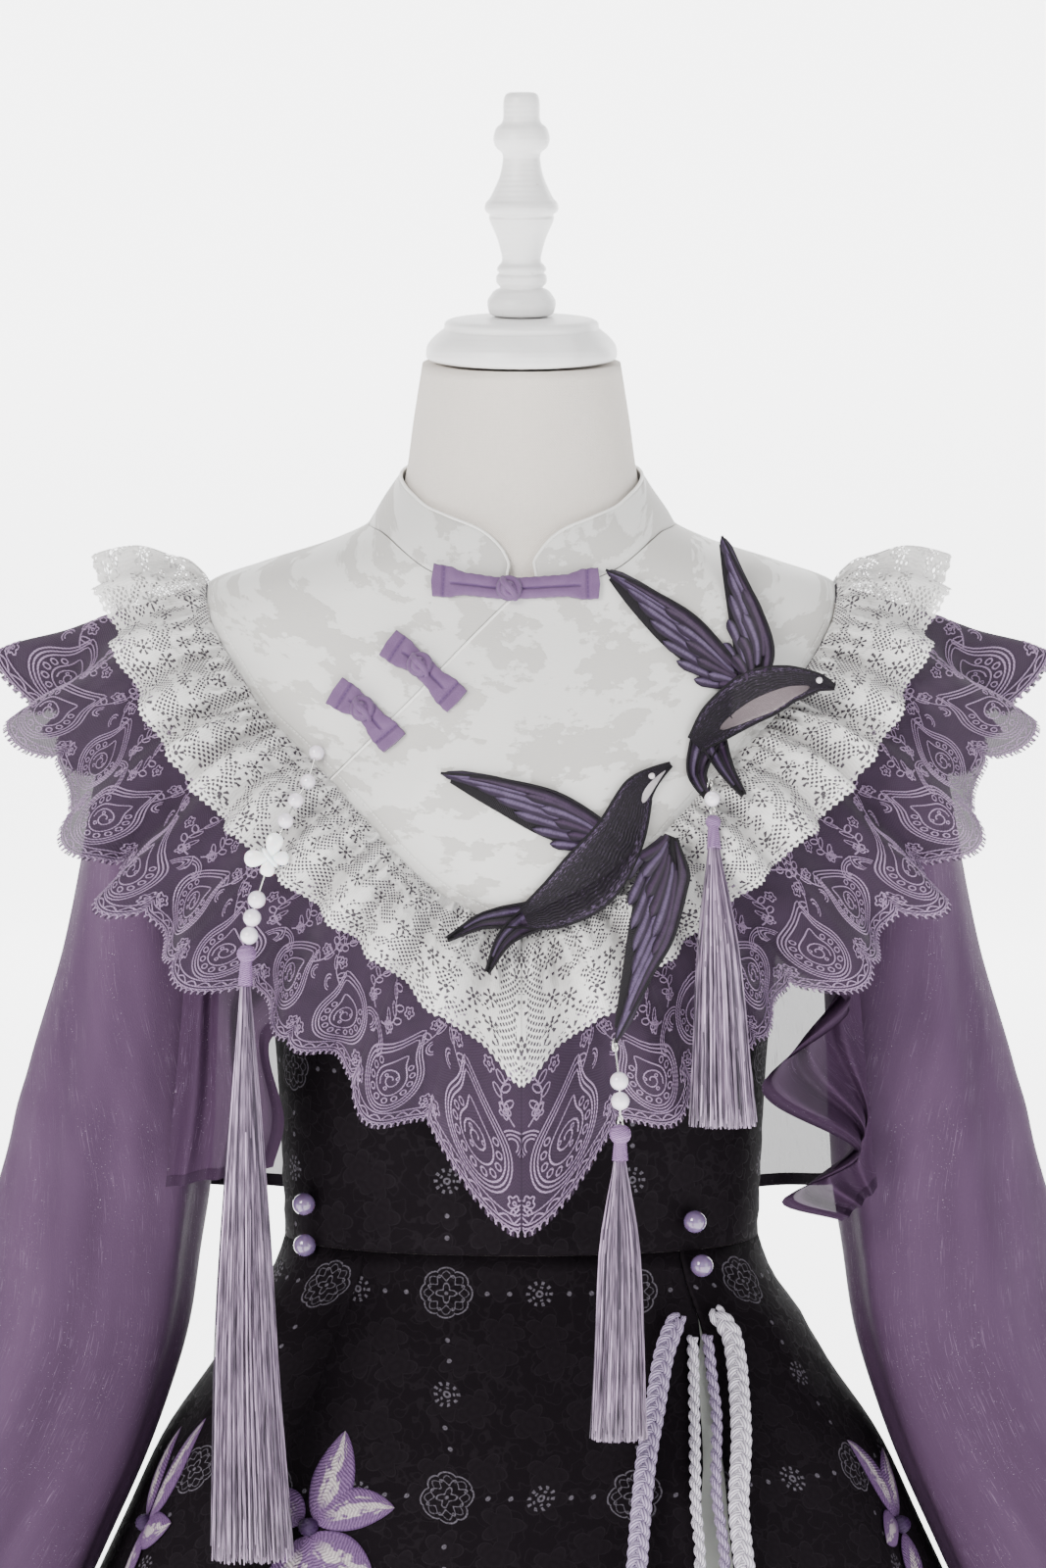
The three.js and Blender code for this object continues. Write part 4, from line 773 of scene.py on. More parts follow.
def chiffon(name, light, dark, thin, hem_width, edge):
    """Sheer cloth: its cloth map counts from the free edges, so a doubled hem shows as a dark
    band; glitter threads lie along it in broken lines, with a painted glint here and there; long
    soft streaks of painted light and shade stand for folds."""
    finish = Finish(name, Specular_IOR_Level=0.1)
    u, v = finish.cloth()
    hem = u.least(v).fade(hem_width, hem_width - 0.5)
    stitch = abs(u.least(v) - (hem_width - 0.8)).fade(0.5, 0.25)
    drift = finish.noise(u, v * 0.35, 40, 3)
    line = finish.noise(u, v * 0.035, 0.6, 2).fade(0.58, 0.74)
    band = finish.noise(u, v * 0.12, 12, 2).fade(0.36, 0.68)
    # fold: long soft streaks of painted light and shade that stand for the cloth's folds.
    fold = finish.noise(u, v * 0.09, 36, 2)
    glitter = line * (band * 0.85 + 0.15)
    # A painted glint: rare near-white spots on the glitter bands.
    painted_glint = finish.noise(u * 1.7, v * 1.9, 1.0, 1).fade(0.72, 0.8) * band
    crepe = finish.noise(u * 2.2, v * 0.6, 0.9, 3)
    base = (drift * 0.3 + crepe * 0.25 + fold * 0.9 - 0.22).blend(dark, light)
    base = (glitter * 0.42).blend(base, (0.26, 0.18, 0.28))
    base = (hem * 0.8 + stitch * 0.1).blend(base, edge)
    finish.feed(Base_Color=painted_glint.blend(base, (0.95, 0.85, 0.98)),
                Alpha=(hem * (1 - thin) + thin + glitter * 0.1).least(1.0),
                Roughness=0.62 - glitter * 0.3, Normal=finish.bump(crepe + line * 0.5 + hem * 0.8, 0.00022))
    return finish.material


sleeve_chiffon = chiffon("mauve_chiffon", (0.1, 0.056, 0.108), (0.03, 0.0145, 0.034), 0.985, 12,
                         (0.02, 0.009, 0.023))
cape_chiffon = chiffon("cape_chiffon", (0.058, 0.029, 0.063), (0.02, 0.009, 0.023), 0.965, 9,
                       (0.025, 0.012, 0.028))
back_chiffon = chiffon("pale_chiffon", (0.085, 0.066, 0.09), (0.045, 0.034, 0.048), 0.84, 11,
                       (0.014, 0.01, 0.015))

CAPE_SIDE = np.array([[0, 161, -46, 1354], [0.12, 169, -52, 1332], [0.3, 176, -57, 1290],
                      [0.6, 180, -63, 1190], [0.8, 186, -65, 1115], [1, 192, -64, 1056]])
CAPE_EDGES = {
    "left": np.array([[0, 82, -96, 1258], [0.3, 96, -103, 1205], [0.52, 111, -103, 1150],
                      [0.64, 137, -96, 1131], [0.82, 127, -92, 1095], [1, 133, -86, 1070]]),
    "right": np.array([[0, 82, -96, 1258], [0.3, 112, -104, 1206], [0.45, 148, -104, 1168],
                       [0.58, 182, -92, 1148], [0.7, 129, -98, 1110], [0.84, 181, -88, 1075],
                       [0.93, 139, -92, 1052], [1, 172, -80, 1040]]),
}
CAPE_SEAM_START, CAPE_SEAM_END, CAPE_FOLDS, CAPE_WAVE = 0.165, 0.62, 3, 5


def ease(value, start, end):
    """0 at start, 1 at end, and smooth between them."""
    t = np.clip((value - start) / (end - start), 0, 1)
    return t * t * (3 - 2 * t)


def from_edges(grid, free_columns=True):
    """The cloth counted from its free edges: the length to the last column, and to the hem."""
    across = np.linalg.norm(np.diff(grid, axis=1, prepend=grid[:, :1]), axis=-1)
    down = np.linalg.norm(np.diff(grid, axis=0, prepend=grid[:1]), axis=-1)
    left = np.cumsum(across[:, ::-1], 1)[:, ::-1] if free_columns else np.cumsum(across, 1) + 500
    return as_points(left, np.cumsum(down[::-1], 0)[::-1])


fall, share = grid_of(100, 72)
for side_name, edge in CAPE_EDGES.items():
    hand = -1 if side_name == "left" else 1
    grid = place_at(CAPE_SIDE, fall) * (1 - share[..., None]) + place_at(edge, fall) * share[..., None]
    sewn = CAPE_SEAM_START + share * (CAPE_SEAM_END - CAPE_SEAM_START)
    top = seam_line(FRONT_SEAM, -1, CHIFFON_LAYER)(sewn)
    hold = ((1 - fall) ** 3)[..., None]
    grid = grid * (1 - hold) + top * hold
    slack = ease(fall, 0.15, 0.7) * np.sqrt(np.clip(np.sin(math.pi * share), 0, 1))
    grid[..., 1] -= CAPE_WAVE * slack * (1 - np.cos(math.tau * CAPE_FOLDS * share))
    grid[..., 1] -= SEAM_SHIFT + 0.9 * slack * np.sin(37 * share + 9 * fall)
    grid[..., 2] -= CHIFFON_CLEARANCE
    grid[..., 0] *= hand
    sheet("cape_front_" + side_name + "_chiffon", "cape_front_" + side_name, grid, cape_chiffon,
          (0.16, 0.31), cloth=from_edges(grid),
          area=0.024 if side_name == "left" else 0.03)

CAPE_BACK_HEM = np.array([[0, 0, 114, 1026], [0.5, 100, 107, 1028], [0.8, 158, 90, 1032], [1, 190, 74, 1036]])
CAPE_BACK_START, CAPE_BACK_FOLDS = 0.22, 4
fall, turn = grid_of(80, 161)
share = np.abs(turn * 2 - 1)
grid = seam_line(BACK_SEAM_LINE, 1, CHIFFON_LAYER)(1 + share * (CAPE_BACK_START - 1))
grid[..., 2] -= CHIFFON_CLEARANCE
grid = grid * (1 - fall[..., None]) + place_at(CAPE_BACK_HEM, share) * fall[..., None]
slack = np.sin(math.pi * np.minimum(1, fall * 1.4) * 0.5)
grid[..., 1] += slack * (4 + 3 * np.cos(math.tau * CAPE_BACK_FOLDS * share))
grid[..., 0] *= np.where(turn < 0.5, -1, 1)
sheet("cape_back_chiffon", "cape_back", grid, back_chiffon, (0.4, 0.32),
      cloth=from_edges(grid), area=0.1)

SLEEVE = np.array([  # ring, middle x y z, tilt in degrees, half width, half depth
    [0, 172.8, 0, 1320, 84, 38, 50], [1, 185.5, 0, 1302, 55, 38, 52], [2, 196, 0, 1270, 28, 37, 53],
    [3, 202, 0, 1225, 14, 38, 52], [4, 208, -1, 1171, 12, 42, 51], [5, 216, -3, 1120, 12, 48, 53],
    [6, 224, -5, 1068, 12, 54, 56], [7, 246, -8, 963, 12, 59, 60], [8, 284, -12, 859, 15, 55, 58],
    [9, 303, -13, 812, 15, 51, 55],
])
SLEEVE_FOLDS, SLEEVE_WAVE, ARM_MIDDLE = 6, 2.4, 225
down, round_ = grid_of(116, 97)
ring, angle = down * SLEEVE[-1, 0], round_ * math.tau
loose = ease(ring, 1, 6)
fold = SLEEVE_WAVE * loose * np.cos(SLEEVE_FOLDS * angle + 0.7 + ring * 0.12)
elbow = np.exp(-((ring - 6.5) ** 2))
fold += 0.8 * loose * np.sin(11 * angle + ring * 0.5) + 0.5 * elbow * np.sin(ring * 9 + angle)
tilt = np.radians(smooth(SLEEVE, 4, ring))
across = np.cos(angle) * (smooth(SLEEVE, 5, ring) + fold)
for side_name, hand in (("left", -1), ("right", 1)):
    grid = as_points(smooth(SLEEVE, 1, ring) + across * np.cos(tilt),
                     smooth(SLEEVE, 2, ring) + np.sin(angle) * (smooth(SLEEVE, 6, ring) + fold),
                     smooth(SLEEVE, 3, ring) + across * np.sin(tilt)) * [hand, 1, 1]
    sheet("sleeve_" + side_name + "_chiffon", "sleeve_" + side_name, grid, sleeve_chiffon,
          (0.34, 0.55),
          cloth=from_edges(grid, free_columns=False), area=0.18, inside=(hand * ARM_MIDDLE, 0, np.nan))

# ---------------------------------------------------------------- The lace ruffles
# Two gathered lace ruffles are caught in the yoke's seam: a wide one of dark mauve net worked
# with lilac paisleys, flowers and looped scallops, and over it a narrower one of white cotton
# net lace with eyelets and a toothed edge. Each is a left and a right half and a back.
HEMS = {  # share of the seam from the shoulder, and the hem's middle line
    "white_front": np.array([[0, 231, 0, 1377], [0.12, 223, -40, 1355], [0.25, 207, -70, 1318],
                             [0.4, 181, -98, 1277], [0.55, 148, -117, 1243], [0.7, 110, -126, 1211],
                             [0.85, 66, -138, 1174], [1, 0, -146, 1119]]),
    "mauve_front": np.array([[0, 275, 0, 1325], [0.12, 263, -47, 1299], [0.25, 244, -74, 1262],
                             [0.4, 217, -91, 1215], [0.55, 178, -104, 1178], [0.7, 128, -114, 1150],
                             [0.82, 89, -120, 1118], [0.92, 48, -126, 1082], [1, 0, -130, 1044]]),
    "white_back": np.array([[0, 231, 0, 1377], [0.25, 205, 78, 1324], [0.5, 156, 110, 1268],
                            [0.75, 84, 134, 1226], [1, 0, 142, 1208]]),
    "mauve_back": np.array([[0, 275, 0, 1325], [0.25, 243, 76, 1268], [0.5, 184, 108, 1206],
                            [0.75, 98, 129, 1164], [1, 0, 137, 1150]]),
}
LACE = {  # front and back count the waves; length and drop are the cut's; rise is how the wave grows
    "white": dict(layer=6.6, clear=0.5, swell=7, wave=7.5, rise=1, scallop=0.085, front=11, back=7,
                  length=470, drop=75),
    "mauve": dict(layer=5.0, clear=2.4, swell=5, wave=11, rise=1.6, scallop=0.07, front=7, back=5,
                  length=520, drop=125),
}
MIDDLE_SHIFT = 0.1


def ruffle(kind, side, share, reach):
    """A gathered ruffle: from the seam it falls straight to the hem's line, swells in the middle
    of its fall, and swings in and out in uneven waves that grow towards the hem."""
    cut = LACE[kind]
    front = side == "front"
    seam = seam_line(FRONT_SEAM if front else BACK_SEAM_LINE, -1 if front else 1, cut["layer"])
    start = seam(share)
    tangent = seam(np.minimum(share + 0.01, 1)) - seam(np.maximum(share - 0.01, 0))
    end = place_at(HEMS[kind + "_" + side], share)
    fall = end - start
    normal = unit(np.cross(unit(tangent), fall))
    outward = start[..., 0] * 0.3 * normal[..., 0] + start[..., 1] * normal[..., 1] + 60 * normal[..., 2]
    normal *= np.where(outward < 0, -1, 1)[..., None]
    normal[..., 0] *= 1 - share**6
    normal = unit(normal)
    uneven = 1 + 0.22 * np.sin(share * 21 + 1) + 0.12 * np.sin(share * 47)
    turn = math.tau * (cut[side] * share + 0.12 * np.sin(share * 16))
    crimp = np.cos(turn) + 0.16 * np.cos(2 * turn + 5 * share)
    down = np.clip(reach, 0, 1)
    lift = cut["swell"] * np.sin(math.pi * down) + cut["wave"] * uneven * crimp * reach ** cut["rise"]
    lift = lift + 1.1 * np.sin(2.9 * turn) * np.exp(-((reach - 0.12) / 0.14) ** 2)
    pinch = np.sqrt(np.abs(np.cos(turn / 2 + 0.3 * np.sin(3 * share))) + 1e-4)
    if kind == "white":
        puff = np.sin(math.pi * down**0.6 * 0.78) * (0.6 + 0.4 * ease(reach, 0.2, 0.6))
        lift = lift + 7.5 * pinch * puff
        lift = lift + 1.5 * (1 + np.sin(3.1 * turn + 1)) * np.exp(-((reach - 0.16) / 0.14) ** 2)
    else:
        lift = lift + 4.5 * pinch * ease(reach, 0.6, 0.9)
    length = cut["clear"] / np.linalg.norm(fall, axis=-1) + reach * (1 + cut["scallop"] * np.cos(turn))
    point = start + fall * length[..., None] + normal * lift[..., None]
    return point + (np.array([MIDDLE_SHIFT, -SEAM_SHIFT, 0]) if front else np.array([0, SEAM_SHIFT, 0]))


def white_cotton():
    """White net lace on its cloth map, which counts along the hem and up from it: zones of open
    net, blooms of six eyelets, close-worked ground between with combed threads, a toothed edge,
    and painted shade in the valleys of its folds and between fine pleats."""
    finish = Finish("white_lace", Roughness=0.85, Sheen_Weight=0.15, Specular_IOR_Level=0.25)
    u, v = finish.cloth()
    net = abs(((u + v) * (math.pi / 3.3)).wave() * ((u - v) * (math.pi / 3.3)).wave()).fade(0.42, 0.62)
    drift = finish.noise(u, v, 13, 2)
    zone = (drift + ((u / 31).fraction() - 0.5) * 0.06).fade(0.515, 0.53)
    _, turn, radius = flower(finish, u, v, 14, 6)
    ring = abs(radius - 0.23).fade(0.12, 0.085) * ((turn * 6).swing()).fade(0.1, 0.5)
    heart = radius.fade(0.1, 0.075)
    eyelets = ring.most(heart) * (1 - zone)
    column = u.off_middle(4.2).fade(0.25, 0.19) * v.off_middle(3.6).fade(0.27, 0.2)
    column = column * (v + (u / 15).wave() * 5).off_middle(24).fade(0.1, 0.07) * (1 - zone)
    tooth = u.off_middle(3.2) * 3.4
    edge = (v - tooth).fade(-0.1, 0.35)
    holes = (zone * net).most(eyelets).most(column)
    border = v.fade(5.5, 4.5)
    holes = holes * (1 - border) + border * (abs(v - 3.0).fade(0.9, 0.5) * u.off_middle(3.2).fade(0.2, 0.28))
    combed = (u * 4.6 + (v * 0.8).wave() * 0.8).wave() * 0.5 + 0.5
    thread = finish.noise(u, v, 0.7, 2)
    tone = finish.noise(u, v, 24, 2)
    cut = LACE["white"]
    # Painted shade: darker where the ruffle's folds turn inwards, and between fine pleats towards the seam.
    turn = (u * (cut["front"] / cut["length"]) + (u * (16 / cut["length"])).wave() * 0.12) * (math.tau)
    painted_valley_shade = turn.swing().fade(0.5, -0.9) * v.fade(72, 45)
    pleat = ((u * (math.tau / 14) + drift * 9).wave() * 0.5 + 0.5) * v.fade(12, 60)
    shadow = painted_valley_shade * 0.3 + pleat * 0.34
    solid = (1 - holes * 0.92) * edge
    # Blots of tone run down to a mid grey: partly the cotton's uneven tone, partly painted shade.
    base = (tone * 0.4 + thread * 0.5 + combed * 0.15).blend((0.45, 0.435, 0.42), (0.97, 0.96, 0.94))
    weave = finish.bump(combed * 0.4 + thread * 0.5 - holes, 0.0003)
    finish.feed(Base_Color=shadow.blend(base, (0.2, 0.19, 0.185)), Alpha=solid * 0.95,
                Normal=finish.bump(pleat * -1, 0.0022, under=weave))
    return finish.material


def mauve_net():
    """Dark mauve net in fine hexagons, with a soft picot edge of looped threads along the hem."""
    finish = Finish("mauve_net", Roughness=0.8, Sheen_Weight=0.1, Specular_IOR_Level=0.25)
    u, v = finish.cloth()
    mesh = ((u * 4.2).wave() * (v * 4.2).wave()) * 0.5 + 0.5
    shade = finish.noise(u, v, 18, 2)
    loop = u.off_middle(2.3).fade(0.26, 0.18)
    picot = (v.fade(0.15, -0.15)) * (1 - loop)
    finish.feed(Base_Color=(shade * 0.6 + mesh * 0.35).blend((0.012, 0.005, 0.014), (0.05, 0.027, 0.057)),
                Alpha=(1 - picot) * (mesh * 0.08 + 0.91), Normal=finish.bump(mesh, 0.0003))
    return finish.material


def scallop(u, width, depth):
    """How far the hem draws back between lobes of a width."""
    return depth * (1 - np.abs(np.sin(math.pi * u / width)) ** 0.55)


LOBES = {"front": 11, "back": 10}
HEM_DEPTH = {"white": 3.5, "mauve": 9}
finishes = {"white": white_cotton(), "mauve": mauve_net()}
for kind in ("mauve", "white"):
    cut = LACE[kind]
    width = cut["length"] / LOBES["front"]
    reach, share = grid_of(37, 265)
    pull = 1 - scallop(share * cut["length"], width, HEM_DEPTH[kind]) / cut["drop"]
    beyond = 1 + (2.6 / cut["drop"] if kind == "mauve" else 0.012)
    for side in ("front", "back"):
        grid = ruffle(kind, side, share, reach * pull * beyond)
        cloth = as_points(share * cut["length"], (1 - reach * beyond) * pull * cut["drop"])
        if side == "front":
            flat = (cut["length"] / 1000, cut["drop"] / 1000)
            for hand, side_name in ((1, "right"), (-1, "left")):
                sheet(f"{kind}_lace_{side_name}", f"{kind}_ruffle_{side_name}", grid * [hand, 1, 1],
                      finishes[kind],
                      flat, cloth=cloth)
        else:
            whole = np.concatenate([grid * [-1, 1, 1], grid[:, -2::-1]], 1)
            twice = np.concatenate([cloth, cloth[:, -2::-1] * [-1, 1] + [2 * cut["length"], 0]], 1)
            sheet(f"{kind}_lace_back", f"{kind}_ruffle_back", whole, finishes[kind],
                  (1.6 * cut["length"] / 1000, cut["drop"] / 1000), cloth=twice)

# ---------------------------------------------------------------- The lilac threads of the mauve lace
# The net is worked in lilac silk: in each lobe a paisley of five outlines with a ring of eyelets
# and a curl inside, flowers and fans beside it, leafy sprays above, and along the scalloped hem
# two cords and a row of loops.
THREAD_HALF, LOBE = 0.36, LACE["mauve"]["length"] / LOBES["front"]


def teardrop(radius, middle, bend):
    """A paisley's outline: a circle with its top drawn out into a tip that bends aside."""
    turn = np.linspace(0, math.tau, 38)
    tip = np.exp(-(((turn - math.pi) / 0.55) ** 2))
    return as_points(middle[0] + radius * (np.sin(turn) * (1 - 0.25 * tip) + bend * 0.62 * tip),
                     middle[1] + radius * (-np.cos(turn) + 0.62 * tip))


def circle(radius, middle, count=9, start=0.0, end=math.tau):
    """A ring of thread, or an arc of one between two angles."""
    turn = np.linspace(start, end, count)
    return np.asarray(middle) + radius * as_points(np.cos(turn), np.sin(turn))


def blossom(middle):
    """A flower's outline: a circle whose radius swings with five petals."""
    turn = np.linspace(0, math.tau, 26)
    reach = 3.0 * (0.62 + 0.5 * np.abs(np.cos(2.5 * turn)))
    return np.asarray(middle) + reach[:, None] * as_points(np.cos(turn), np.sin(turn))


def almond(start, angle, length=6.2, wide=1.5):
    """A leaf's outline from its stalk at an angle: a stretched circle."""
    share = np.linspace(0, math.tau, 10)
    along, aside = length * (1 - np.cos(share)) / 2, wide * np.sin(share)
    way, up = np.array([math.cos(angle), math.sin(angle)]), np.array([-math.sin(angle), math.cos(angle)])
    return np.asarray(start) + along[:, None] * way + aside[:, None] * up


def lobe_motif(bend):
    """The threads of one lobe: each a path of places from its middle along the hem and up from
    the hem, in millimetres. The paisley's tip bends one way or the other."""
    heart = (-1.5 * bend, 25.0)
    paths = [teardrop(radius, heart, bend) for radius in (17.6, 15.9, 14.2, 8.6)]
    paths += [circle(1.45, (heart[0] + 11.4 * math.sin(a), heart[1] - 11.4 * math.cos(a)))
              for a in np.linspace(-2.2, 2.2, 11)]
    curl = np.linspace(0, math.tau * 1.6, 22)
    paths.append(np.array(heart) + ((1 + curl * 0.55)[:, None]) * as_points(np.cos(curl), np.sin(curl)))
    paths += [circle(0.9, (heart[0] + 4.2 * math.cos(a), heart[1] + 4.2 * math.sin(a) - 1), 7)
              for a in (0.5, 2.4, 4.3)]
    for middle in ((-20.5, 11), (20.5, 11), (-14.5 * bend, 47), (15.5 * bend, 56), (-4 * bend, 62)):
        paths += [blossom(middle), circle(0.85, middle, 7)]
    paths += [circle(radius, (side * 23.6, 5.5), 12, 0.5 * math.pi + side * 0.2, 0.5 * math.pi + side * 1.45)
              for side in (-1, 1) for radius in (3.2, 4.9)]
    paths += [circle(radius, (-19 * bend, 34), 13, -0.9, 2.4) for radius in (3.0, 4.6, 6.2)]
    paths += [circle(radius, (17.5 * bend, 42), 13, 1.9, 5.0) for radius in (2.4, 4.0)]
    stem = np.linspace(0, 1, 34)
    spray = as_points(bend * (10 + 12 * np.sin(stem * 3.2)), 44 + 30 * stem)
    back_spray = as_points(-bend * (20 - 8 * np.sin(stem * 4)), 42 + 30 * stem)
    paths += [spray, back_spray]
    for line, lean in ((spray, 1), (back_spray, -1)):
        for place in (4, 11, 18, 25):
            paths.append(almond(line[place], math.pi / 2 + lean * bend * 0.9))
            paths.append(almond(line[place + 3], math.pi / 2 - lean * bend * 0.9))
    along = np.linspace(-LOBE / 2, LOBE / 2, 30)
    paths += [as_points(along, 0 * along + up) for up in (1.0, 2.6, 6.4)]
    scallops = np.linspace(-LOBE / 2, LOBE / 2, 65)
    paths.append(as_points(scallops, 2.6 + 2.6 * np.abs(np.sin(math.pi * scallops / (LOBE / 7)))))
    loops = np.linspace(0, math.tau * 15, 121)
    paths.append(as_points(-LOBE / 2 + LOBE * loops / loops[-1] + 0.75 * np.sin(loops),
                           -0.9 + 1.3 * np.cos(loops)))
    return paths


def on_mauve(side, u, v):
    """The place on the mauve ruffle at a length along its hem and a height above it."""
    cut = LACE["mauve"]
    pull = 1 - scallop(u, LOBE, HEM_DEPTH["mauve"]) / cut["drop"]
    return ruffle("mauve", side, np.clip(u / cut["length"], 0, 1), pull - v / cut["drop"])


def ribbon(side, path):
    """A raised thread along a path on the ruffle: three columns, with the middle one proud."""
    way = np.gradient(path, axis=-2)
    way /= np.maximum(np.linalg.norm(way, axis=-1, keepdims=True), 1e-6)
    aside = as_points(-way[..., 1], way[..., 0]) * THREAD_HALF
    place = np.stack([path - aside, path, path + aside], -2)
    u, v = np.clip(place[..., 0], 0.3, LACE["mauve"]["length"] - 0.3), place[..., 1]
    point = on_mauve(side, u, v)
    normal = np.cross(on_mauve(side, u + 0.4, v) - point, on_mauve(side, u, v + 0.4) - point)
    normal /= np.maximum(np.linalg.norm(normal, axis=-1, keepdims=True), 1e-9)
    face = np.sign(np.sum(normal * (point - [0, 0, 1240]) * [0.4, 1, 0.3], -1, keepdims=True))
    step = np.cumsum(np.linalg.norm(np.diff(path, axis=-2, prepend=path[..., :1, :]), axis=-1), -1)
    cloth = as_points(np.array([-1.0, 0, 1]), step[..., None])
    return point + normal * face * np.array([0.1, 0.6, 0.1])[:, None], cloth


lilac_silk = silk("lilac_silk", (0.42, 0.3, 0.46), (0.15, 0.085, 0.18), 1.6, 0.6, 0.4)
for side in ("front", "back"):
    lobes = np.arange(LOBES["front"])
    parts = []
    for bend in (1, -1):
        middles = (lobes[lobes % 2 == (bend > 0)] + 0.5) * LOBE
        for path in lobe_motif(bend):
            parts.append(ribbon(side, path + as_points(middles, 0 * middles)[:, None]))
    for hand, side_name in ((1, "right"), (-1, "left")):
        name = "threads_" + (side_name if side == "front" else "back_" + side_name)
        grids = [(grid * [hand, 1, 1], cloth) for grid, cloth in parts]
        worn(lay(name, grids, inside=UPRIGHT, weld=False), lilac_silk)

# ---------------------------------------------------------------- The stand collar and the yoke
# A soft stand collar with rounded front corners, and a yoke of two fronts and a back: the right
# front laps over the left along a diagonal edge. All are off-white satin jacquard with clouds,
# with narrow piping along the collar and the lapped edge, and topstitched above the ruffles.
NECKLINE = np.array([[0, 1375, 1385], [4, 1376, 1395], [8, 1378, 1401.5], [15, 1382.5, 1407.5],
                     [30, 1392, 1413.5], [45, 1399, 1419], [60, 1403, 1426], [90, 1406, 1436],
                     [135, 1410, 1443], [180, 1413, 1446]])
COLLAR_OPENING, COLLAR_TOP_LAYER, COLLAR_LIFT = 2.4, 2.6, 1.3
PLACKET_ROW, PLACKET_GAP, BLIND_GAP, SEAM_LAP, TOPSTITCH = 6.05, 0.5, 0.3, 1.6, 5.6


def cream_jacquard():
    """Off-white satin: ragged matt clouds a shade darker, with fine broken horizontal floats in
    them, and a band of stitches that runs above the sewn edge, with painted shade in the groove
    along it."""
    finish = Finish("cream_jacquard", Specular_IOR_Level=0.45, Sheen_Weight=0.25, Sheen_Roughness=0.35)
    x, y, z = finish.place()
    up = z - y * 0.5
    seam, rise = finish.cloth()
    drift = finish.noise(x, up * 1.7, 34, 6, 0.62)
    wisp = finish.noise(x * 0.45, up * 1.5, 7, 4, 0.6)
    cloud = (drift + wisp * 0.22).fade(0.605, 0.635)
    rim = abs(drift + wisp * 0.22 - 0.62).fade(0.03, 0.0)
    floats = finish.noise(x * 0.3, up, 0.8, 3)
    weave = ((x * 9).wave() * (up * 9).wave()) * 0.5 + 0.5
    stain = finish.noise(x, up, 62, 2)
    stitch = abs(rise - TOPSTITCH).fade(0.45, 0.2) * seam.off_middle(2.6).fade(0.36, 0.3)
    # The groove along the stitches: painted shade in the colour, and sunk in the relief.
    well = abs(rise - TOPSTITCH).fade(1.3, 0.3)
    base = stain.blend((0.59, 0.585, 0.56), (0.72, 0.71, 0.685))
    base = (cloud * 0.85 + rim * 0.15).blend(base, (0.45, 0.435, 0.41))
    base = (floats * 0.35 * cloud + well * 0.12).blend(base, (0.56, 0.545, 0.52))
    base = (stitch * 0.55).blend(base, (0.93, 0.92, 0.9))
    relief = floats * 0.3 + weave * 0.16 + cloud * 0.3 - well * 0.7 + stitch * 0.5
    finish.feed(Base_Color=base, Roughness=0.42 + cloud * 0.2 + floats * 0.12,
                Normal=finish.bump(relief, 0.00035))
    return finish.material


def satin_roll(name, light, dark):
    """A narrow roll of bias-cut satin: faint slanting weave along it."""
    finish = Finish(name, Specular_IOR_Level=0.5, Sheen_Weight=0.3, Sheen_Roughness=0.3)
    around, along = finish.cloth()
    grain = ((along + around) * 5.5).wave() * 0.5 + 0.5
    tone = finish.noise(around, along, 6, 3)
    finish.feed(Base_Color=(grain * 0.25 + tone * 0.75).blend(dark, light), Roughness=0.5 - grain * 0.12,
                Normal=finish.bump(grain * 0.5 + tone * 0.5, 0.0002))
    return finish.material


def piping(name, path, radius):
    """A roll of satin along an edge."""
    taper = np.sin(np.linspace(0.02, math.pi - 0.02, len(path))) ** 0.08
    return worn(lay(name, [strand(path, radius * taper, 10)], weld=False), roll_satin)


satin = cream_jacquard()
roll_satin = satin_roll("cream_satin", (0.88, 0.87, 0.84), (0.74, 0.725, 0.69))

rise, round_ = grid_of(14, 220)
turn = COLLAR_OPENING + round_ * (360 - 2 * COLLAR_OPENING)
degrees = np.where(turn > 180, 360 - turn, turn)
low = round_body(np.radians(turn), smooth(NECKLINE, 1, degrees) + COLLAR_LIFT - 1.2, YOKE_LAYER)
high = round_body(np.radians(turn), smooth(NECKLINE, 2, degrees), COLLAR_TOP_LAYER)
grid = low * (1 - rise[..., None]) + high * rise[..., None]
crown = np.sin(math.pi * rise) * (0.5 + 0.35 * np.sin(np.radians(turn) * 9 + rise * 4))
grid += (round_body(np.radians(turn), grid[..., 2], 1)
         - round_body(np.radians(turn), grid[..., 2], 0)) * crown[..., None]
collar_cloth = as_points(turn * 1.2, rise * 26 + 20)
edge = np.concatenate([grid[:-1, 0], grid[-1], grid[-2::-1, -1]])
edge, length = through(edge[::3], 420)
collar_roll = piping("collar_piping", edge + [0, -0.2, 0.3], 1.0)
sheet("collar_satin", "collar", grid, satin, (0.42, 0.034),
      thickness=CLOTH, cloth=collar_cloth)


def level_line(points):
    """Points in front view, each x and z, as a path read by its length."""
    points = np.asarray(points, float)
    return by_length(as_points(points[:, 0], 0 * points[:, 0], points[:, 1]))


def neck_and_ridge(hand, start, end):
    """The yoke's upper edge: under the collar from one angle to another, then out along the
    shoulder's ridge to its tip."""
    degrees = np.linspace(start, end, 60)
    base = smooth(NECKLINE, 1, degrees) - BLIND_GAP
    neck = as_points(hand * round_body(np.radians(degrees), base)[:, 0], base)
    x = np.linspace(abs(neck[-1, 0]), SHOULDER_HALF, 40)[1:]
    return np.concatenate([neck, as_points(hand * x, ridge_height(x))])


def seam_view(seam, hand):
    """A seam in front view, on the left or the right."""
    row = np.linspace(0, seam[-1, 0], 160)
    return as_points(hand * smooth(seam, 1, row), smooth(seam, 2, row))


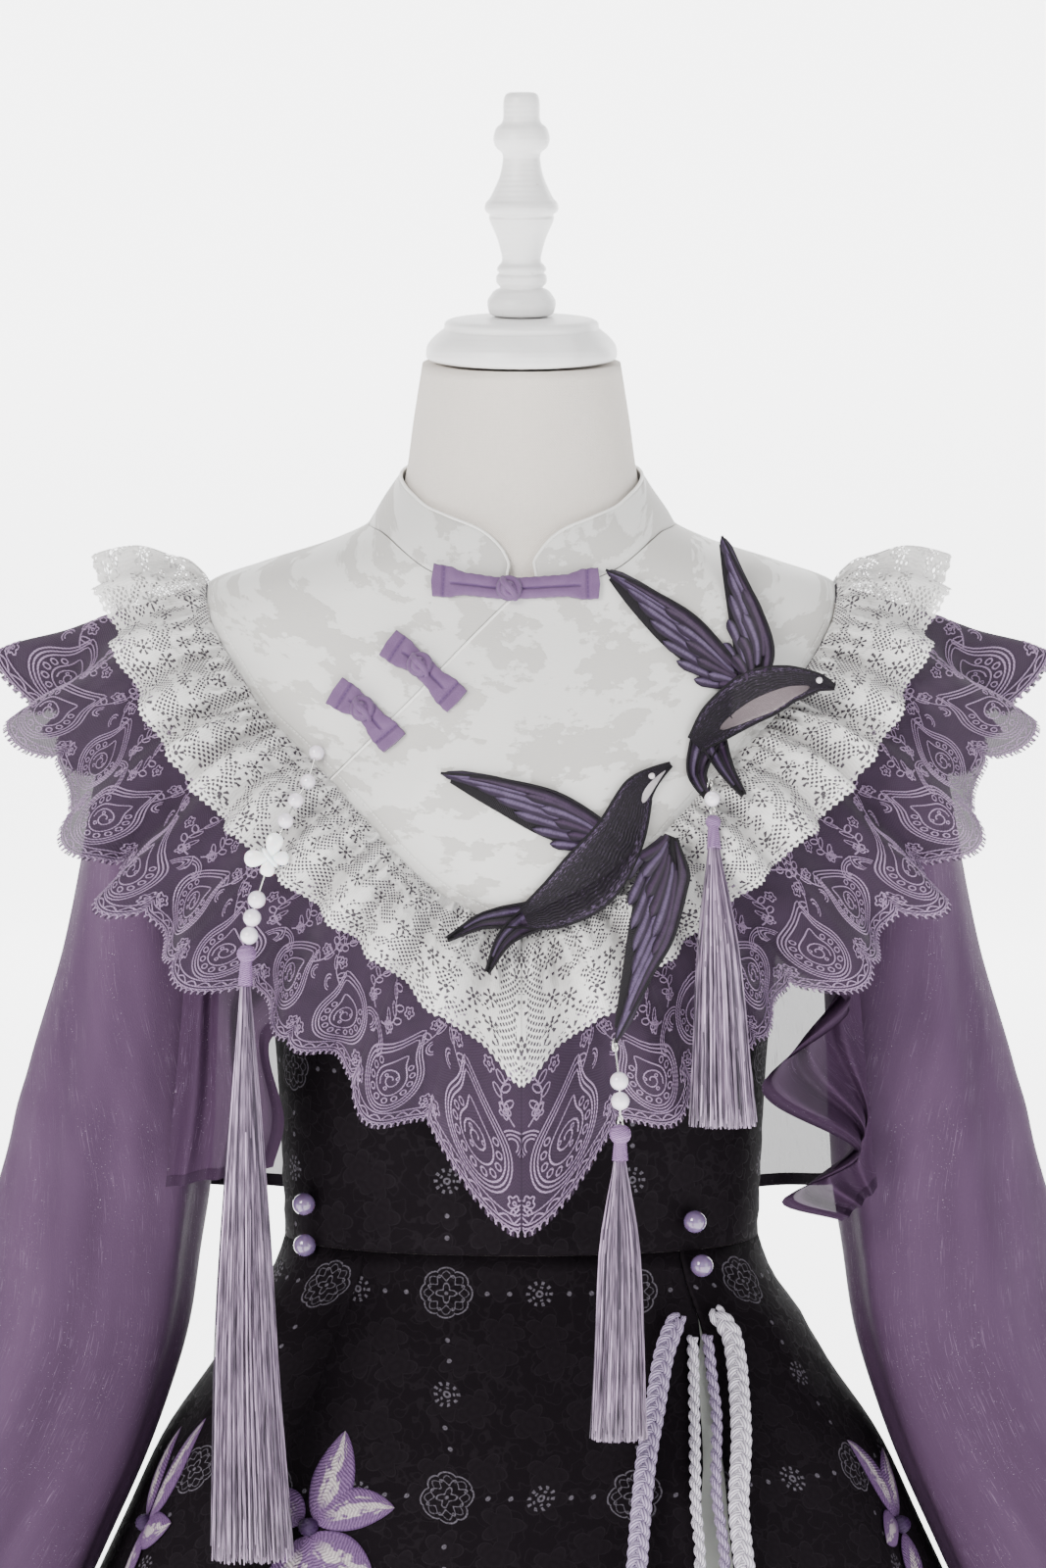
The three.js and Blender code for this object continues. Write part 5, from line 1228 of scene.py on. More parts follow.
PULLS = np.array([  # soft folds: from x z to x z, half width, height
    [-34, 1318, -55, 1262, 6, 1.5], [-62, 1292, -48, 1250, 5, -1.0], [-12, 1345, 8, 1290, 12, 0.7],
    [-88, 1316, -124, 1330, 7, 0.8], [60, 1392, 84, 1378, 6, 0.7], [-60, 1388, -92, 1374, 7, 0.7],
    [20, 1232, 6, 1216, 6, 0.9], [-20, 1236, -8, 1216, 6, 0.8], [96, 1300, 60, 1262, 9, 0.7],
])


def yoke_cloth(upper, lower_parts, side, columns):
    """A yoke panel: straight columns in front view from its upper edge to the seam, laid on the
    form, with soft folds; its cloth counts along the seam and up from it."""
    above = level_line(upper)
    below = []
    for points, part in lower_parts:
        spans = round(columns * part)
        below.append(level_line(points)(np.linspace(0, 1, spans + 1))[1 if below else 0:])
    below = np.concatenate(below)
    share = np.linspace(0, 1, len(below))
    fall = (np.linspace(0, 1, 40) ** 2.2)[:, None, None]
    view = above(share) * (1 - fall) + below * fall
    x, z = view[..., 0], view[..., 2]
    stand = YOKE_LAYER + TIP_LIFT * (np.abs(x) / SHOULDER_HALF) ** 8
    if side < 0:
        for x0, z0, x1, z1, half, height in PULLS:
            way = np.array([x1 - x0, z1 - z0])
            along = ((x - x0) * way[0] + (z - z0) * way[1]) / (way @ way)
            on_way = np.clip(along, 0, 1)
            off = (x - x0 - way[0] * on_way) ** 2 + (z - z0 - way[1] * on_way) ** 2
            held = fall[..., 0] ** 0.5 * ease(1 - fall[..., 0], 0, 0.2)
            stand = stand + height * np.exp(-off / half**2) * held
    grid = across_body(x, z, side, stand) + [0, side * SEAM_SHIFT, 0]
    grid[-1] += unit(grid[-1] - grid[-2]) * SEAM_LAP
    up = np.cumsum(np.linalg.norm(np.diff(grid[::-1], axis=0, prepend=grid[-1:]), axis=-1), 0)[::-1]
    seam = np.cumsum(np.linalg.norm(np.diff(grid[-1], axis=0, prepend=grid[-1, :1]), axis=-1))
    return grid, as_points(seam, up)


placket_top = np.array([-2, NECKLINE[0, 1] - BLIND_GAP])
placket_foot = np.array([-smooth(FRONT_SEAM, 1, PLACKET_ROW), smooth(FRONT_SEAM, 2, PLACKET_ROW)])
shift = np.array([-PLACKET_GAP, PLACKET_GAP])
left_seam, right_seam = seam_view(FRONT_SEAM, -1), seam_view(FRONT_SEAM, 1)
overlap, overlap_cloth = yoke_cloth(
    np.concatenate([[placket_top], neck_and_ridge(1, 0, 90)]),
    [(np.concatenate([[placket_foot], left_seam[left_seam[:, 0] > placket_foot[0] + 2]]), 0.34),
     (right_seam[::-1], 0.66)], -1, 120)
placket_roll = piping("placket_piping", through(overlap[:, 0] + [0.4, -0.3, 0], 160)[0], 0.9)
sheet("yoke_right_satin", "yoke_right", overlap, satin, (0.4, 0.23),
      thickness=CLOTH, cloth=overlap_cloth, area=0.05)
neck = neck_and_ridge(-1, 0, 90)
underlap, underlap_cloth = yoke_cloth(
    np.concatenate([[placket_top + shift], neck[neck[:, 0] < placket_top[0] + shift[0] - 1]]),
    [(np.concatenate([[placket_foot + shift],
                      left_seam[::-1][left_seam[::-1][:, 0] < placket_foot[0] + shift[0] - 2]]), 1.0)], -1,
                      80)
sheet("yoke_left_satin", "yoke_left", underlap, satin, (0.25, 0.12),
      thickness=CLOTH, cloth=underlap_cloth, area=0.018)
back_seam = seam_view(BACK_SEAM_LINE, -1)
back, back_cloth = yoke_cloth(
    np.concatenate([neck_and_ridge(-1, 180, 90)[::-1], neck_and_ridge(1, 180, 90)[1:]]),
    [(back_seam, 0.5), (back_seam[::-1] * [-1, 1], 0.5)], 1, 140)
sheet("yoke_back_satin", "yoke_back", back, satin, (0.45, 0.2),
      thickness=CLOTH, cloth=back_cloth, area=0.06)

# ---------------------------------------------------------------- The frog closures
# Three frogs of purple crepe close the lapped edge: each is a folded strip with stitched square
# ends that narrows to a hard round knot, coiled from the same strip.
FROG_LAYER, FROG_HALF, TAB, TAB_STITCH, FROG_FACE = 8.2, 7.6, 9.0, 9.0 * 0.72, 21
FROGS = {  # from x z, to x z, knot x z
    "frog_top": ((-47, 1379.5), (41, 1378), (-6.5, 1376)),
    "frog_middle": ((-70, 1347), (-33, 1316.5), (-52.5, 1335)),
    "frog_low": ((-97, 1323), (-65, 1295), (-81, 1313)),
}


def crepe():
    """Purple crepe: a fine crinkled grain, with painted shade down its middle fold, and a stitched
    line across each end, which the cloth map's second count measures from, with painted shade
    in the line's groove."""
    finish = Finish("frog_crepe", Roughness=0.75, Sheen_Weight=0.1, Specular_IOR_Level=0.3)
    along, across = finish.cloth()
    grain = finish.noise(along, across, 0.8, 3)
    tone = finish.noise(along, across, 7, 2)
    row = abs(along - TAB_STITCH).fade(0.55, 0.25)
    stitch = row * across.off_middle(2.4).fade(0.42, 0.34)
    well = abs(along - TAB_STITCH).fade(1.6, 0.4)
    fold = abs(across).fade(1.1, 0.2) * along.fade(TAB, TAB + 2)
    base = (tone * 0.6 + grain * 0.4).blend((0.075, 0.034, 0.098), (0.15, 0.082, 0.178))
    # Painted shade: the fold down the strip's middle and the groove by each stitched row are painted darker.
    base = (fold * 0.55 + well * 0.25 + stitch * 0.4).blend(base, (0.04, 0.015, 0.07))
    relief = grain * 0.5 + tone * 0.3 - well * 0.7 - fold * 0.8
    finish.feed(Base_Color=base, Normal=finish.bump(relief, 0.0005))
    return finish.material


purple_crepe = crepe()
for name, (start, end, knot) in FROGS.items():
    ends = [np.array([x, 0, z]) for x, z in (start, knot, end)]
    bow = np.array([ends[0], ends[0] * 0.5 + ends[1] * 0.5, ends[1], ends[1] * 0.5 + ends[2] * 0.5, ends[2]])
    middle, length = through(bow, 90)
    across, _ = beside(middle)
    share = np.linspace(0, length, 90)
    near_end = np.minimum(share, length - share)
    waist = 0.74 + 0.26 * ease(near_end, TAB + 9, TAB - 1)
    half = FROG_HALF * waist * (1 + 0.02 * np.sin(share * 1.3)) * np.clip(near_end / 0.35, 0, 1) ** 0.3
    t = np.concatenate([np.linspace(-1, 1, FROG_FACE), [1, 0, -1, -1]])
    under = np.array([0] * FROG_FACE + [1, 1, 1, 0])
    hump = 0.35 + 0.95 * np.abs(np.sin(math.pi * np.abs(t))) ** 0.7
    lift = 0.7 + hump * ease(near_end, TAB - 1, TAB + 4)[:, None] + 0.35 * (1 - t**6)
    well = np.exp(-(((near_end - TAB_STITCH) / 0.8) ** 2))[:, None]
    lift = np.where(under == 1, -1.7, lift - 0.45 * well)
    point = middle[:, None] + across[:, None] * (half[:, None] * t)[..., None]
    grid = across_body(point[..., 0], point[..., 2], -1, FROG_LAYER + lift)
    place = as_points(near_end[:, None], (half[:, None] * t))
    heart = across_body(knot[0], knot[1], -1, FROG_LAYER + 2.2)
    out = out_of_body(*knot)
    side = unit(np.array([1.0, 0, 0]) - out * out[0])
    up = np.cross(side, out)
    turn = np.linspace(0, math.tau * 1.9, 110)
    wide = 4.9 - 3.7 * ease(turn, math.tau * 0.85, turn[-1])
    rise = 0.6 + 2.6 * ease(turn, math.tau * 0.7, turn[-1])
    round_knot = np.cos(turn)[:, None] * side + np.sin(turn)[:, None] * up
    coil = heart + wide[:, None] * round_knot + rise[:, None] * out
    over = np.linspace(-1, 1, 50)
    loop = (heart + over[:, None] * 6.3 * (side * 0.5 + up * 0.86)
            + ((1 - over**2) * 5.6 - 0.8)[:, None] * out + (0.9 * np.sin(3 * over))[:, None] * side)
    hub = wound_ball(heart + out * 0.4, 4.6, 0.8, turns=2)
    worn(lay(name + "_crepe", [(grid, place)]), purple_crepe, name)
    wound = [strand(coil, 2.15, 10, ahead=tuple(out)), hub, strand(loop, 1.8, 10, ahead=tuple(side))]
    worn(lay(name + "_knot", wound, weld=False), purple_crepe)

# ---------------------------------------------------------------- The swallow patches
# Two swallows in flight, embroidered on dark felt and sewn on at the right: wings of overlapping
# feathers in lavender satin stitch, a body in short dark stitches, a pale breast, a forked tail,
# and a dark corded edge. Below the yoke's seam the patches stand out over the ruffles.
PATCH_LAYER, PATCH_REACH, PATCH_CREST, PATCH_EASE, PATCH_MIDDLE, PATCH_DROP = 9.9, 112, 1362, 8, 45, 40
PATCH_LIFT = np.array([[0, 0], [12, 11.5], [30, 22.5], [55, 34], [90, 43]], float)
PATCH_LEAN, PATCH_SIDE_LIFT, BEHIND_PATCH = 0.35, 0.3, (60, 400, 1280)
BIRDS = {  # leaves from tip or tail to root or beak: x, z, half width; wings have their front edge's side
    "upper": dict(settle=0.0, wings=[
        ([[44, 1387, 1.2], [62, 1371, 9], [84, 1352, 14], [106, 1334, 10], [120, 1326, 4]], 1, 8),
        ([[106, 1405, 1.2], [111, 1385, 6], [117, 1364, 11], [121, 1345, 13], [122, 1328, 8]], 1, 6)],
        body=[[92, 1296, 5], [106, 1309, 11], [126, 1322, 13], [144, 1328, 9], [156, 1329, 5],
              [166, 1326.5, 1]],
        tails=[[[101, 1266, 1.2], [93, 1282, 5], [98, 1300, 8]],
               [[117, 1271, 1.2], [108, 1284, 4], [100, 1302, 8]]],
        breast=(0.16, 0.74, -0.86, 0.1), throat=None, eye=(0.83, 0.3)),
    "lower": dict(settle=1.1, wings=[
        ([[-43, 1281, 1.2], [-14, 1270, 10], [14, 1258, 15], [36, 1248, 12], [48, 1243, 5]], 1, 8),
        ([[48, 1145, 1.2], [58, 1180, 9], [66, 1206, 15], [72, 1232, 16], [78, 1250, 4]], -1, 8)],
        body=[[2, 1206, 6], [18, 1214, 12], [36, 1228, 16], [52, 1250, 13], [62, 1273, 8], [71, 1281, 4],
              [79, 1286, 1]],
        tails=[[[-39, 1197, 1], [-18, 1206, 4], [6, 1208, 7]], [[-18, 1180, 1], [-9, 1196, 4], [8, 1208, 7]]],
        breast=None, throat=(0.62, 0.93, -0.92, -0.15), eye=(0.8, 0.15)),
}


def over_yoke(x, z, lift):
    """A point of a patch at x and z: on the yoke above its seam, and further and further out
    below it and beside it; a lift adds to its stand."""
    row = np.linspace(0, 10, 600)
    yoke_x = np.clip(x, -PATCH_REACH, PATCH_REACH)
    seam = np.interp(-np.abs(yoke_x), -smooth(FRONT_SEAM, 1, row), smooth(FRONT_SEAM, 2, row))
    point = across_body(yoke_x, np.clip(z, seam, PATCH_CREST), -1, PATCH_LAYER)
    below = np.maximum(0, seam + PATCH_EASE - z)
    aside = np.maximum(0, np.abs(yoke_x) - PATCH_MIDDLE) * np.minimum(1, below / PATCH_DROP)
    beside_reach = np.maximum(0, np.abs(x) - PATCH_REACH)
    rise = smooth(PATCH_LIFT, 1, below) + (aside + beside_reach) * PATCH_SIDE_LIFT
    y = point[..., 1] - rise + np.maximum(0, z - PATCH_CREST) * PATCH_LEAN - lift
    return as_points(x, y, z)


def leaf_at(rows, s, t, lift):
    """A point of a leaf: s runs along its spine from 0 to 1 and t across it from -1 to 1."""
    numbered = np.column_stack([np.arange(len(rows)), rows]).astype(float)
    place = s * (len(rows) - 1)
    spine = [smooth(numbered, axis, place) for axis in (1, 2)]
    ahead = [smooth(numbered, axis, place + 0.02) - smooth(numbered, axis, place - 0.02) for axis in (1, 2)]
    size = np.maximum(np.hypot(*ahead), 1e-6)
    half = smooth(numbered, 3, place) * t
    return over_yoke(spine[0] - ahead[1] / size * half, spine[1] + ahead[0] / size * half, lift)


def stitched(name, light, middle, dark):
    """Satin stitch: close slanting threads with a painted sheen along the feather's back, and a dark
    edge. Its cloth map counts tenths of the half width across, and millimetres along."""
    finish = Finish(name, Roughness=0.42, Specular_IOR_Level=0.4)
    across, along = finish.cloth()
    back = 1 - abs(across * 0.1 + 0.15)
    thread = (along * 1.1 + abs(across) * 0.32).ripple(0.62) * 0.5 + 0.5
    own = finish.noise(across * 0.15, along * 2.2, 1.0, 2)
    patchy = finish.noise(across * 0.3, along, 7, 2)
    # glow is a painted sheen: light along the feather's back, broken up by the threads and by patchy tint.
    glow = (back.fade(0.25, 0.95) * 0.75 + patchy * 0.5 - 0.2) * (thread * 0.45 + own * 0.75)
    rim = abs(across * 0.1).fade(0.72, 0.9)
    base = glow.fade(0.12, 0.7).blend(middle, light)
    base = (rim * 0.9).blend(base, dark)
    finish.feed(Base_Color=base, Normal=finish.bump(thread * 0.6 + own * 0.5 - rim * 0.5, 0.0005))
    return finish.material


def plumage(name, light, dark, fleck_size):
    """Short stitches laid one over another along the body, with a pale thread here and there."""
    finish = Finish(name, Roughness=0.55, Specular_IOR_Level=0.25)
    across, along = finish.cloth()
    stitch = finish.noise(across * 2.6, along * 0.55, fleck_size, 3, 0.65)
    ridge = ((across * 2.4 + (along * 0.7).wave() * 0.8) * 2).wave() * 0.5 + 0.5
    edge = abs(across).fade(5.5, 9.5)
    finish.feed(Base_Color=((stitch + edge * 0.12).fade(0.56, 0.78)).blend(dark, light),
                Normal=finish.bump(stitch * 0.7 + ridge * 0.4, 0.0006))
    return finish.material


# In each stitched finish the first colour is the painted sheen, the second the thread, the third the edge.
feather_lilac = stitched("feather_lilac", (0.17, 0.12, 0.235), (0.024, 0.012, 0.033), (0.003, 0.0015, 0.004))
feather_plum = stitched("feather_plum", (0.07, 0.036, 0.088), (0.012, 0.005, 0.016), (0.003, 0.0015, 0.004))
dark_plumage = plumage("dark_plumage", (0.11, 0.075, 0.14), (0.004, 0.0018, 0.005), 1.0)
grey_breast = plumage("grey_breast", (0.3, 0.26, 0.265), (0.15, 0.12, 0.13), 1.2)
white_throat = plumage("white_throat", (0.85, 0.82, 0.83), (0.6, 0.55, 0.58), 1.1)
felt = silk("dark_cord", (0.006, 0.0035, 0.007), (0.0018, 0.001, 0.0022), 1.2, 0.9, 0.8)


def feather(rows, lead, root, tip, half, lift, count, bend):
    """One feather between two places on a wing, each s and t: widest near its rounded tip."""
    share, edge = grid_of(count, 9)
    t = edge * 2 - 1
    s_place = root[0] + (tip[0] - root[0]) * share
    t_place = root[1] + (tip[1] - root[1]) * share + bend * np.sin(math.pi * share)
    spine = leaf_at(rows, s_place, t_place * lead, 0)[:, 4]
    way = unit(np.gradient(spine[:, [0, 2]], axis=0))
    size = half * (0.55 + 0.45 * share[:, 0]) * np.clip((1 - share[:, 0]) / 0.12, 0, 1) ** 0.5
    size *= np.clip(share[:, 0] / 0.04, 0, 1) ** 0.5
    x = spine[:, :1] - way[:, 1:] * size[:, None] * t
    z = spine[:, 2:] + way[:, :1] * size[:, None] * t
    dome = 0.75 * (1 - t**2) - 0.25
    length = np.linalg.norm(spine[-1] - spine[0])
    return over_yoke(x, z, lift + dome), as_points(t * 10, share * length)


def pad(rows, s_range, t_range, lift, height, shape=None, count=(40, 21)):
    """A raised field of stitches on a leaf, between shares along it and across it."""
    share, edge = grid_of(*count)
    s = s_range[0] + (s_range[1] - s_range[0]) * share
    pinch = np.sin(math.pi * np.clip(share, 0.0, 1.0)) ** 0.45 if shape == "oval" else 1.0
    middle, spread = (t_range[0] + t_range[1]) / 2, (t_range[1] - t_range[0]) / 2
    t = middle + (edge * 2 - 1) * spread * pinch
    dome = height * (1 - (edge * 2 - 1) ** 2) ** 0.6 - 0.5
    rows = np.asarray(rows, float)
    length = np.linalg.norm(np.diff(rows[:, :2], axis=0), axis=1).sum()
    return leaf_at(rows, s, t, lift + dome), as_points((edge * 2 - 1) * 10, s * length)


def corded(rows, lift, sides=(-1, 1), radius=0.8):
    """Dark corded edging along the sides of a leaf."""
    s = np.linspace(0, 1, 70)
    return [strand(leaf_at(rows, s, np.full(70, side * 1.0), lift), radius, 7) for side in sides]


for name, bird in BIRDS.items():
    lift = -bird["settle"]
    lilac, plum, ground, cords, plumes, pale = [], [], [], [], [], []
    for number, (rows, lead, feathers) in enumerate(bird["wings"]):
        level = lift + number * 0.4
        front, back = sorted((lead * 1.0, -lead * 0.62))
        ground.append(pad(rows, (0.05, 1), (front, back), level - 0.4, 0.6))
        for k in range(feathers):
            share = k / (feathers - 1)
            tip = (0.66 * share**1.15, 0.72 - 1.72 * share)
            root = (0.74 + 0.24 * share, 0.6 - 1.05 * share)
            rise = level + 0.25 * (1 - share)
            lilac.append(feather(rows, lead, root, tip, 3.5 - 0.5 * share, rise, 26, 0.12))
        for k in range(feathers - 2):
            share = k / (feathers - 3)
            tip = (0.36 + 0.42 * share, 0.55 - 1.25 * share)
            root = (0.8 + 0.2 * share, 0.55 - 0.75 * share)
            (lilac if k % 3 == 1 else plum).append(feather(rows, lead, root, tip, 3.4, level + 0.75, 18, 0.1))
        plum.append(pad(rows, (0.12, 0.98), tuple(sorted((lead * 0.56, lead * 0.98))), level + 0.55, 1.1))
        cords += corded(rows, level + 0.5, sides=(lead,))
    for number, rows in enumerate(bird["tails"]):
        level = lift + 0.7 + number * 0.2
        ground.append(pad(rows, (0, 1), (-1, 1), level - 0.5, 0.7))
        plum.append(pad(rows, (0.08, 1), (-0.85, -0.05), level, 0.8))
        lilac.append(pad(rows, (0.22, 1), (0.05, 0.85), level, 0.8))
        cords += corded(rows, level + 0.2, radius=0.7)
    body = bird["body"]
    plumes.append(pad(body, (0, 1), (-1, 1), lift + 1.1, 1.7, count=(60, 31)))
    cords += corded(body, lift + 1.0, radius=0.75)
    for field in (bird["breast"], bird["throat"]):
        if field:
            pale.append(pad(body, field[:2], field[2:], lift + 2.2, 0.8, shape="oval", count=(50, 21)))
    eye = leaf_at(body, np.array([bird["eye"][0]]), np.array([bird["eye"][1]]), lift + 3.1)[0]
    fields = (("felt", ground, felt), ("lilac_feathers", lilac, feather_lilac),
              ("plum_feathers", plum, feather_plum), ("body", plumes, dark_plumage),
              ("breast", pale, grey_breast if bird["breast"] else white_throat), ("edging", cords, felt))
    for part, grids, shade in fields:
        piece = lay(f"swallow_{name}_{part}", grids, inside=None if part == "edging" else BEHIND_PATCH,
                    weld=False)
        worn(piece, shade, f"swallow_{name}" if part == "felt" else None)
    for part, radius, proud, shade in (("eye_ring", 1.7, 0, white_throat), ("eye", 1.15, 0.5, felt)):
        ball = wound_ball(eye - [0, proud, 0], radius, 1, 1)
        worn(lay(f"swallow_{name}_{part}", [ball]), shade)

# ---------------------------------------------------------------- The embroidered flowers
# Three flowers low on the skirt, of pointed petals in purple satin stitch with pale middles,
# each about a dark knotted heart. They are worked on the cloth and stand up from it a little.
FLOWERS = [  # x and z of the heart, and for each petal its direction, length and half width
    (-112, 883, [(74, 44, 13), (24, 42, 11), (-38, 38, 12), (-100, 40, 12), (158, 36, 11)]),
    (-203, 868, [(62, 58, 12), (118, 48, 10), (0, 34, 10), (-70, 36, 12)]),
    (205, 866, [(108, 52, 11), (70, 40, 9), (176, 30, 9), (-110, 38, 12)]),
]


def petal_silk():
    """Long and short satin stitch: purple at the petal's rim, with a ragged cream middle and a
    dark root. Its cloth map counts tenths of the half width across, and millimetres along."""
    finish = Finish("petal_silk", Roughness=0.6, Specular_IOR_Level=0.2)
    across, along = finish.cloth()
    ragged = finish.noise(across * 0.45, along * 0.16, 1.0, 3)
    thread = (along * 0.8 + abs(across) * 0.5 + ragged * 2).ripple(1.5) * 0.5 + 0.5
    inward = 1 - abs(across * 0.1)
    pale = (inward * 0.55 + ragged * 1.1).fade(0.88, 1.02) * ((along / 60).fraction() * 60).fade(8, 20)
    own = finish.noise(across * 0.7, along * 0.7, 1.0, 2)
    base = (own * 0.6 + thread * 0.45).blend((0.03, 0.012, 0.045), (0.19, 0.105, 0.235))
    base = (pale * 0.85).blend(base, (thread * 0.6 + own * 0.4).blend((0.22, 0.18, 0.2), (0.6, 0.55, 0.52)))
    base = (inward.fade(0.14, 0.04) * 0.7).blend(base, (0.04, 0.016, 0.06))
    finish.feed(Base_Color=base, Normal=finish.bump(thread * 0.6 + own * 0.6, 0.0007))
    return finish.material


def on_flat(x, z, across, up, stand):
    """A point of the skirt a given way across and up from a point of its front, measured on
    the cloth, with a stand out of it."""
    turn = np.linspace(-1.55, 1.55, 1200)
    level = np.full(turn.shape, float(z))
    line = on_skirt(turn, level)
    length = run_along(line)
    here = np.interp(np.interp(x, line[:, 0], turn), turn, length)
    return on_skirt(np.interp(here + across, length, turn), z + up, inset=-stand)


grids = []
along, wide = grid_of(30, 15, -1, 1)
for number, (x, z, petals) in enumerate(FLOWERS):
    for turned, (way, long, half) in enumerate(petals):
        spine = math.radians(way) + 0.35 * (along - 0.5) * (-1) ** turned
        shape = np.sin(math.pi * along**0.85) ** 0.75
        forward = 4 + along * long
        aside = wide * half * shape
        stand = CLOTH / 2 + 0.5 + (0.3 * turned + 1.5 * (1 - wide**2) * shape)
        across = forward * np.cos(spine) - aside * np.sin(spine)
        up = forward * np.sin(spine) + aside * np.cos(spine)
        grid = on_flat(x, z, across, up, stand)
        grids.append((grid, as_points(wide * 10 + 0 * along, forward + 60 * turned)))
worn(lay("flower_petals", grids, inside=UPRIGHT, weld=False), petal_silk())
hearts = lay("flower_hearts", [wound_ball(on_flat(x, z, 0, 0, 1.5), 5.5, 0.9) for x, z, _ in FLOWERS],
             weld=False)
heart_silk = stitched("heart_silk", (0.12, 0.05, 0.17), (0.05, 0.02, 0.08), (0.03, 0.01, 0.05))
worn(hearts, heart_silk)

# ---------------------------------------------------------------- Pearls, tassels and beads
# Strings of pearls and silk tassels hang by silvered loops: one from the end of the lapped edge,
# with a carved white butterfly bead, and one from each swallow. Each tassel has a wound ball and
# a bound neck over a skirt of fine floss. Four round milky purple beads are sewn on the dress.
PEARLS = {  # x, y, z and radius
    "left": np.array([[-109, -92.5, 1291, 4.2], [-113, -110, 1277, 4.2], [-119, -122, 1268, 4.2],
                      [-124, -131, 1258, 4.2], [-132, -137, 1239, 11], [-139, -137, 1217, 4.8],
                      [-141.5, -137, 1207.5, 4.8], [-143, -137, 1198, 4.8]]),
    "centre": np.array([[48.7, -165, 1144.2, 1.6], [51, -168, 1125, 4.9], [51.5, -168, 1114.5, 4.9],
                        [51.5, -168, 1104.4, 1.6]]),
    "right": np.array([[99.6, -112.2, 1275.4, 1.6], [100.4, -124, 1269, 4.2], [100.6, -125.6, 1262.5, 1.6]]),
}
TASSELS = {  # from the tips up: z, middle x y, half width
    "left": np.array([[868, -142, -150, 22], [1010, -145, -144, 15], [1176, -145, -137, 1.8]]),
    "centre": np.array([[936, 51, -170, 15], [1030, 51.5, -169, 11], [1087, 51.5, -168, 1.8]]),
    "right": np.array([[1099, 106, -154, 18], [1190, 103, -154, 11], [1247, 101, -132, 1.8]]),
}
HEADS = {"left": (-144.5, -137, 1188.3, 5, 3.4), "centre": (51.5, -168, 1097, 5.6, 3.6),
         "right": (100.8, -127, 1257, 4, 3.2)}
BEAD, BUTTERFLY = 6.2, 11
FLOSS, FLOSS_SPANS = 420, 12


def globe(middle, radius):
    """A smooth round bead."""
    return wound_ball(middle, radius, swelling=0, cells=(17, 25))


def lacquer(name, low, high, glow, rough=0.12):
    """Pearl lacquer or milky glass: a slow swirl of two tints under a clear coat, with painted shade that
    darkens the colour towards each bead's rim as the camera sees it.
    """
    finish = Finish(name, Coat_Weight=0.8, Coat_Roughness=0.06, Roughness=rough, Specular_IOR_Level=0.6,
                    Subsurface_Weight=glow, Subsurface_Scale=0.004)
    x, y, z = finish.place()
    swirl = finish.noise(x + y, z, 4.2, 3)
    # facing: painted shade that darkens the colour towards the rim, as seen from the camera.
    facing = finish.node("LayerWeight", None, {"Blend": 0.35}, out=1)
    finish.feed(Base_Color=(swirl * 0.6 + facing * 0.45).blend(high, low),
                Normal=finish.bump(finish.noise(x + y, z, 0.7, 2), 0.00004))
    return finish.material


def floss(name):
    """Silk floss: each strand has its own tint, with a painted shine in streaks along it, and many
    strands, picked at random, are painted nearly black for the shade inside the bundle; its cloth
    map counts strands across and height along."""
    finish = Finish(name, Roughness=0.38, Specular_IOR_Level=0.5, Sheen_Weight=0.1, Anisotropic=0.5)
    strand_of, along = finish.cloth()
    own = finish.noise(strand_of * 7.3, strand_of * 3.1, 1.0, 1)
    painted_shine_streak = finish.noise(strand_of * 3, along, 22, 2)
    # glow: each strand's tint with painted shine streaks; its low end is painted shade, nearly black.
    glow = (own * 0.7 + painted_shine_streak * 0.5).fade(0.47, 0.84)
    finish.feed(Base_Color=glow.blend((0.015, 0.006, 0.02), (0.52, 0.38, 0.56)))
    return finish.material


white_pearl = lacquer("white_pearl", (0.5, 0.43, 0.55), (0.9, 0.86, 0.91), 0.1)
butterfly_white = lacquer("butterfly_white", (0.86, 0.84, 0.88), (0.97, 0.96, 0.97), 0.35, 0.2)
milky_purple = lacquer("milky_purple", (0.05, 0.028, 0.08), (0.2, 0.14, 0.26), 0.1, 0.16)
silk_bound = silk("silk_bound", (0.34, 0.2, 0.4), (0.1, 0.045, 0.14), 1.1, 0.35, 0.36)
silk_floss = floss("silk_floss")
silver = Finish("silver_wire", Metallic=1.0, Roughness=0.25)
far, _, high = silver.place()
silver.feed(Base_Color=silver.noise(far, high, 1.5, 2).blend((0.5, 0.49, 0.47), (0.85, 0.84, 0.8)))


def ring_of(middle, radius, wire, tilt):
    """A closed ring of wire, upright and turned by an angle about its height."""
    turn = np.linspace(0, math.tau, 33)
    way = as_points(np.cos(turn) * math.cos(tilt), np.cos(turn) * math.sin(tilt), np.sin(turn) * 1.3)
    small = np.linspace(0, math.tau, 9)
    up = np.array([-math.sin(tilt), math.cos(tilt), 0])
    tube = way[:, None] * np.cos(small)[:, None] + up * np.sin(small)[:, None]
    return np.asarray(middle) + radius * way[:, None] + wire * tube, None


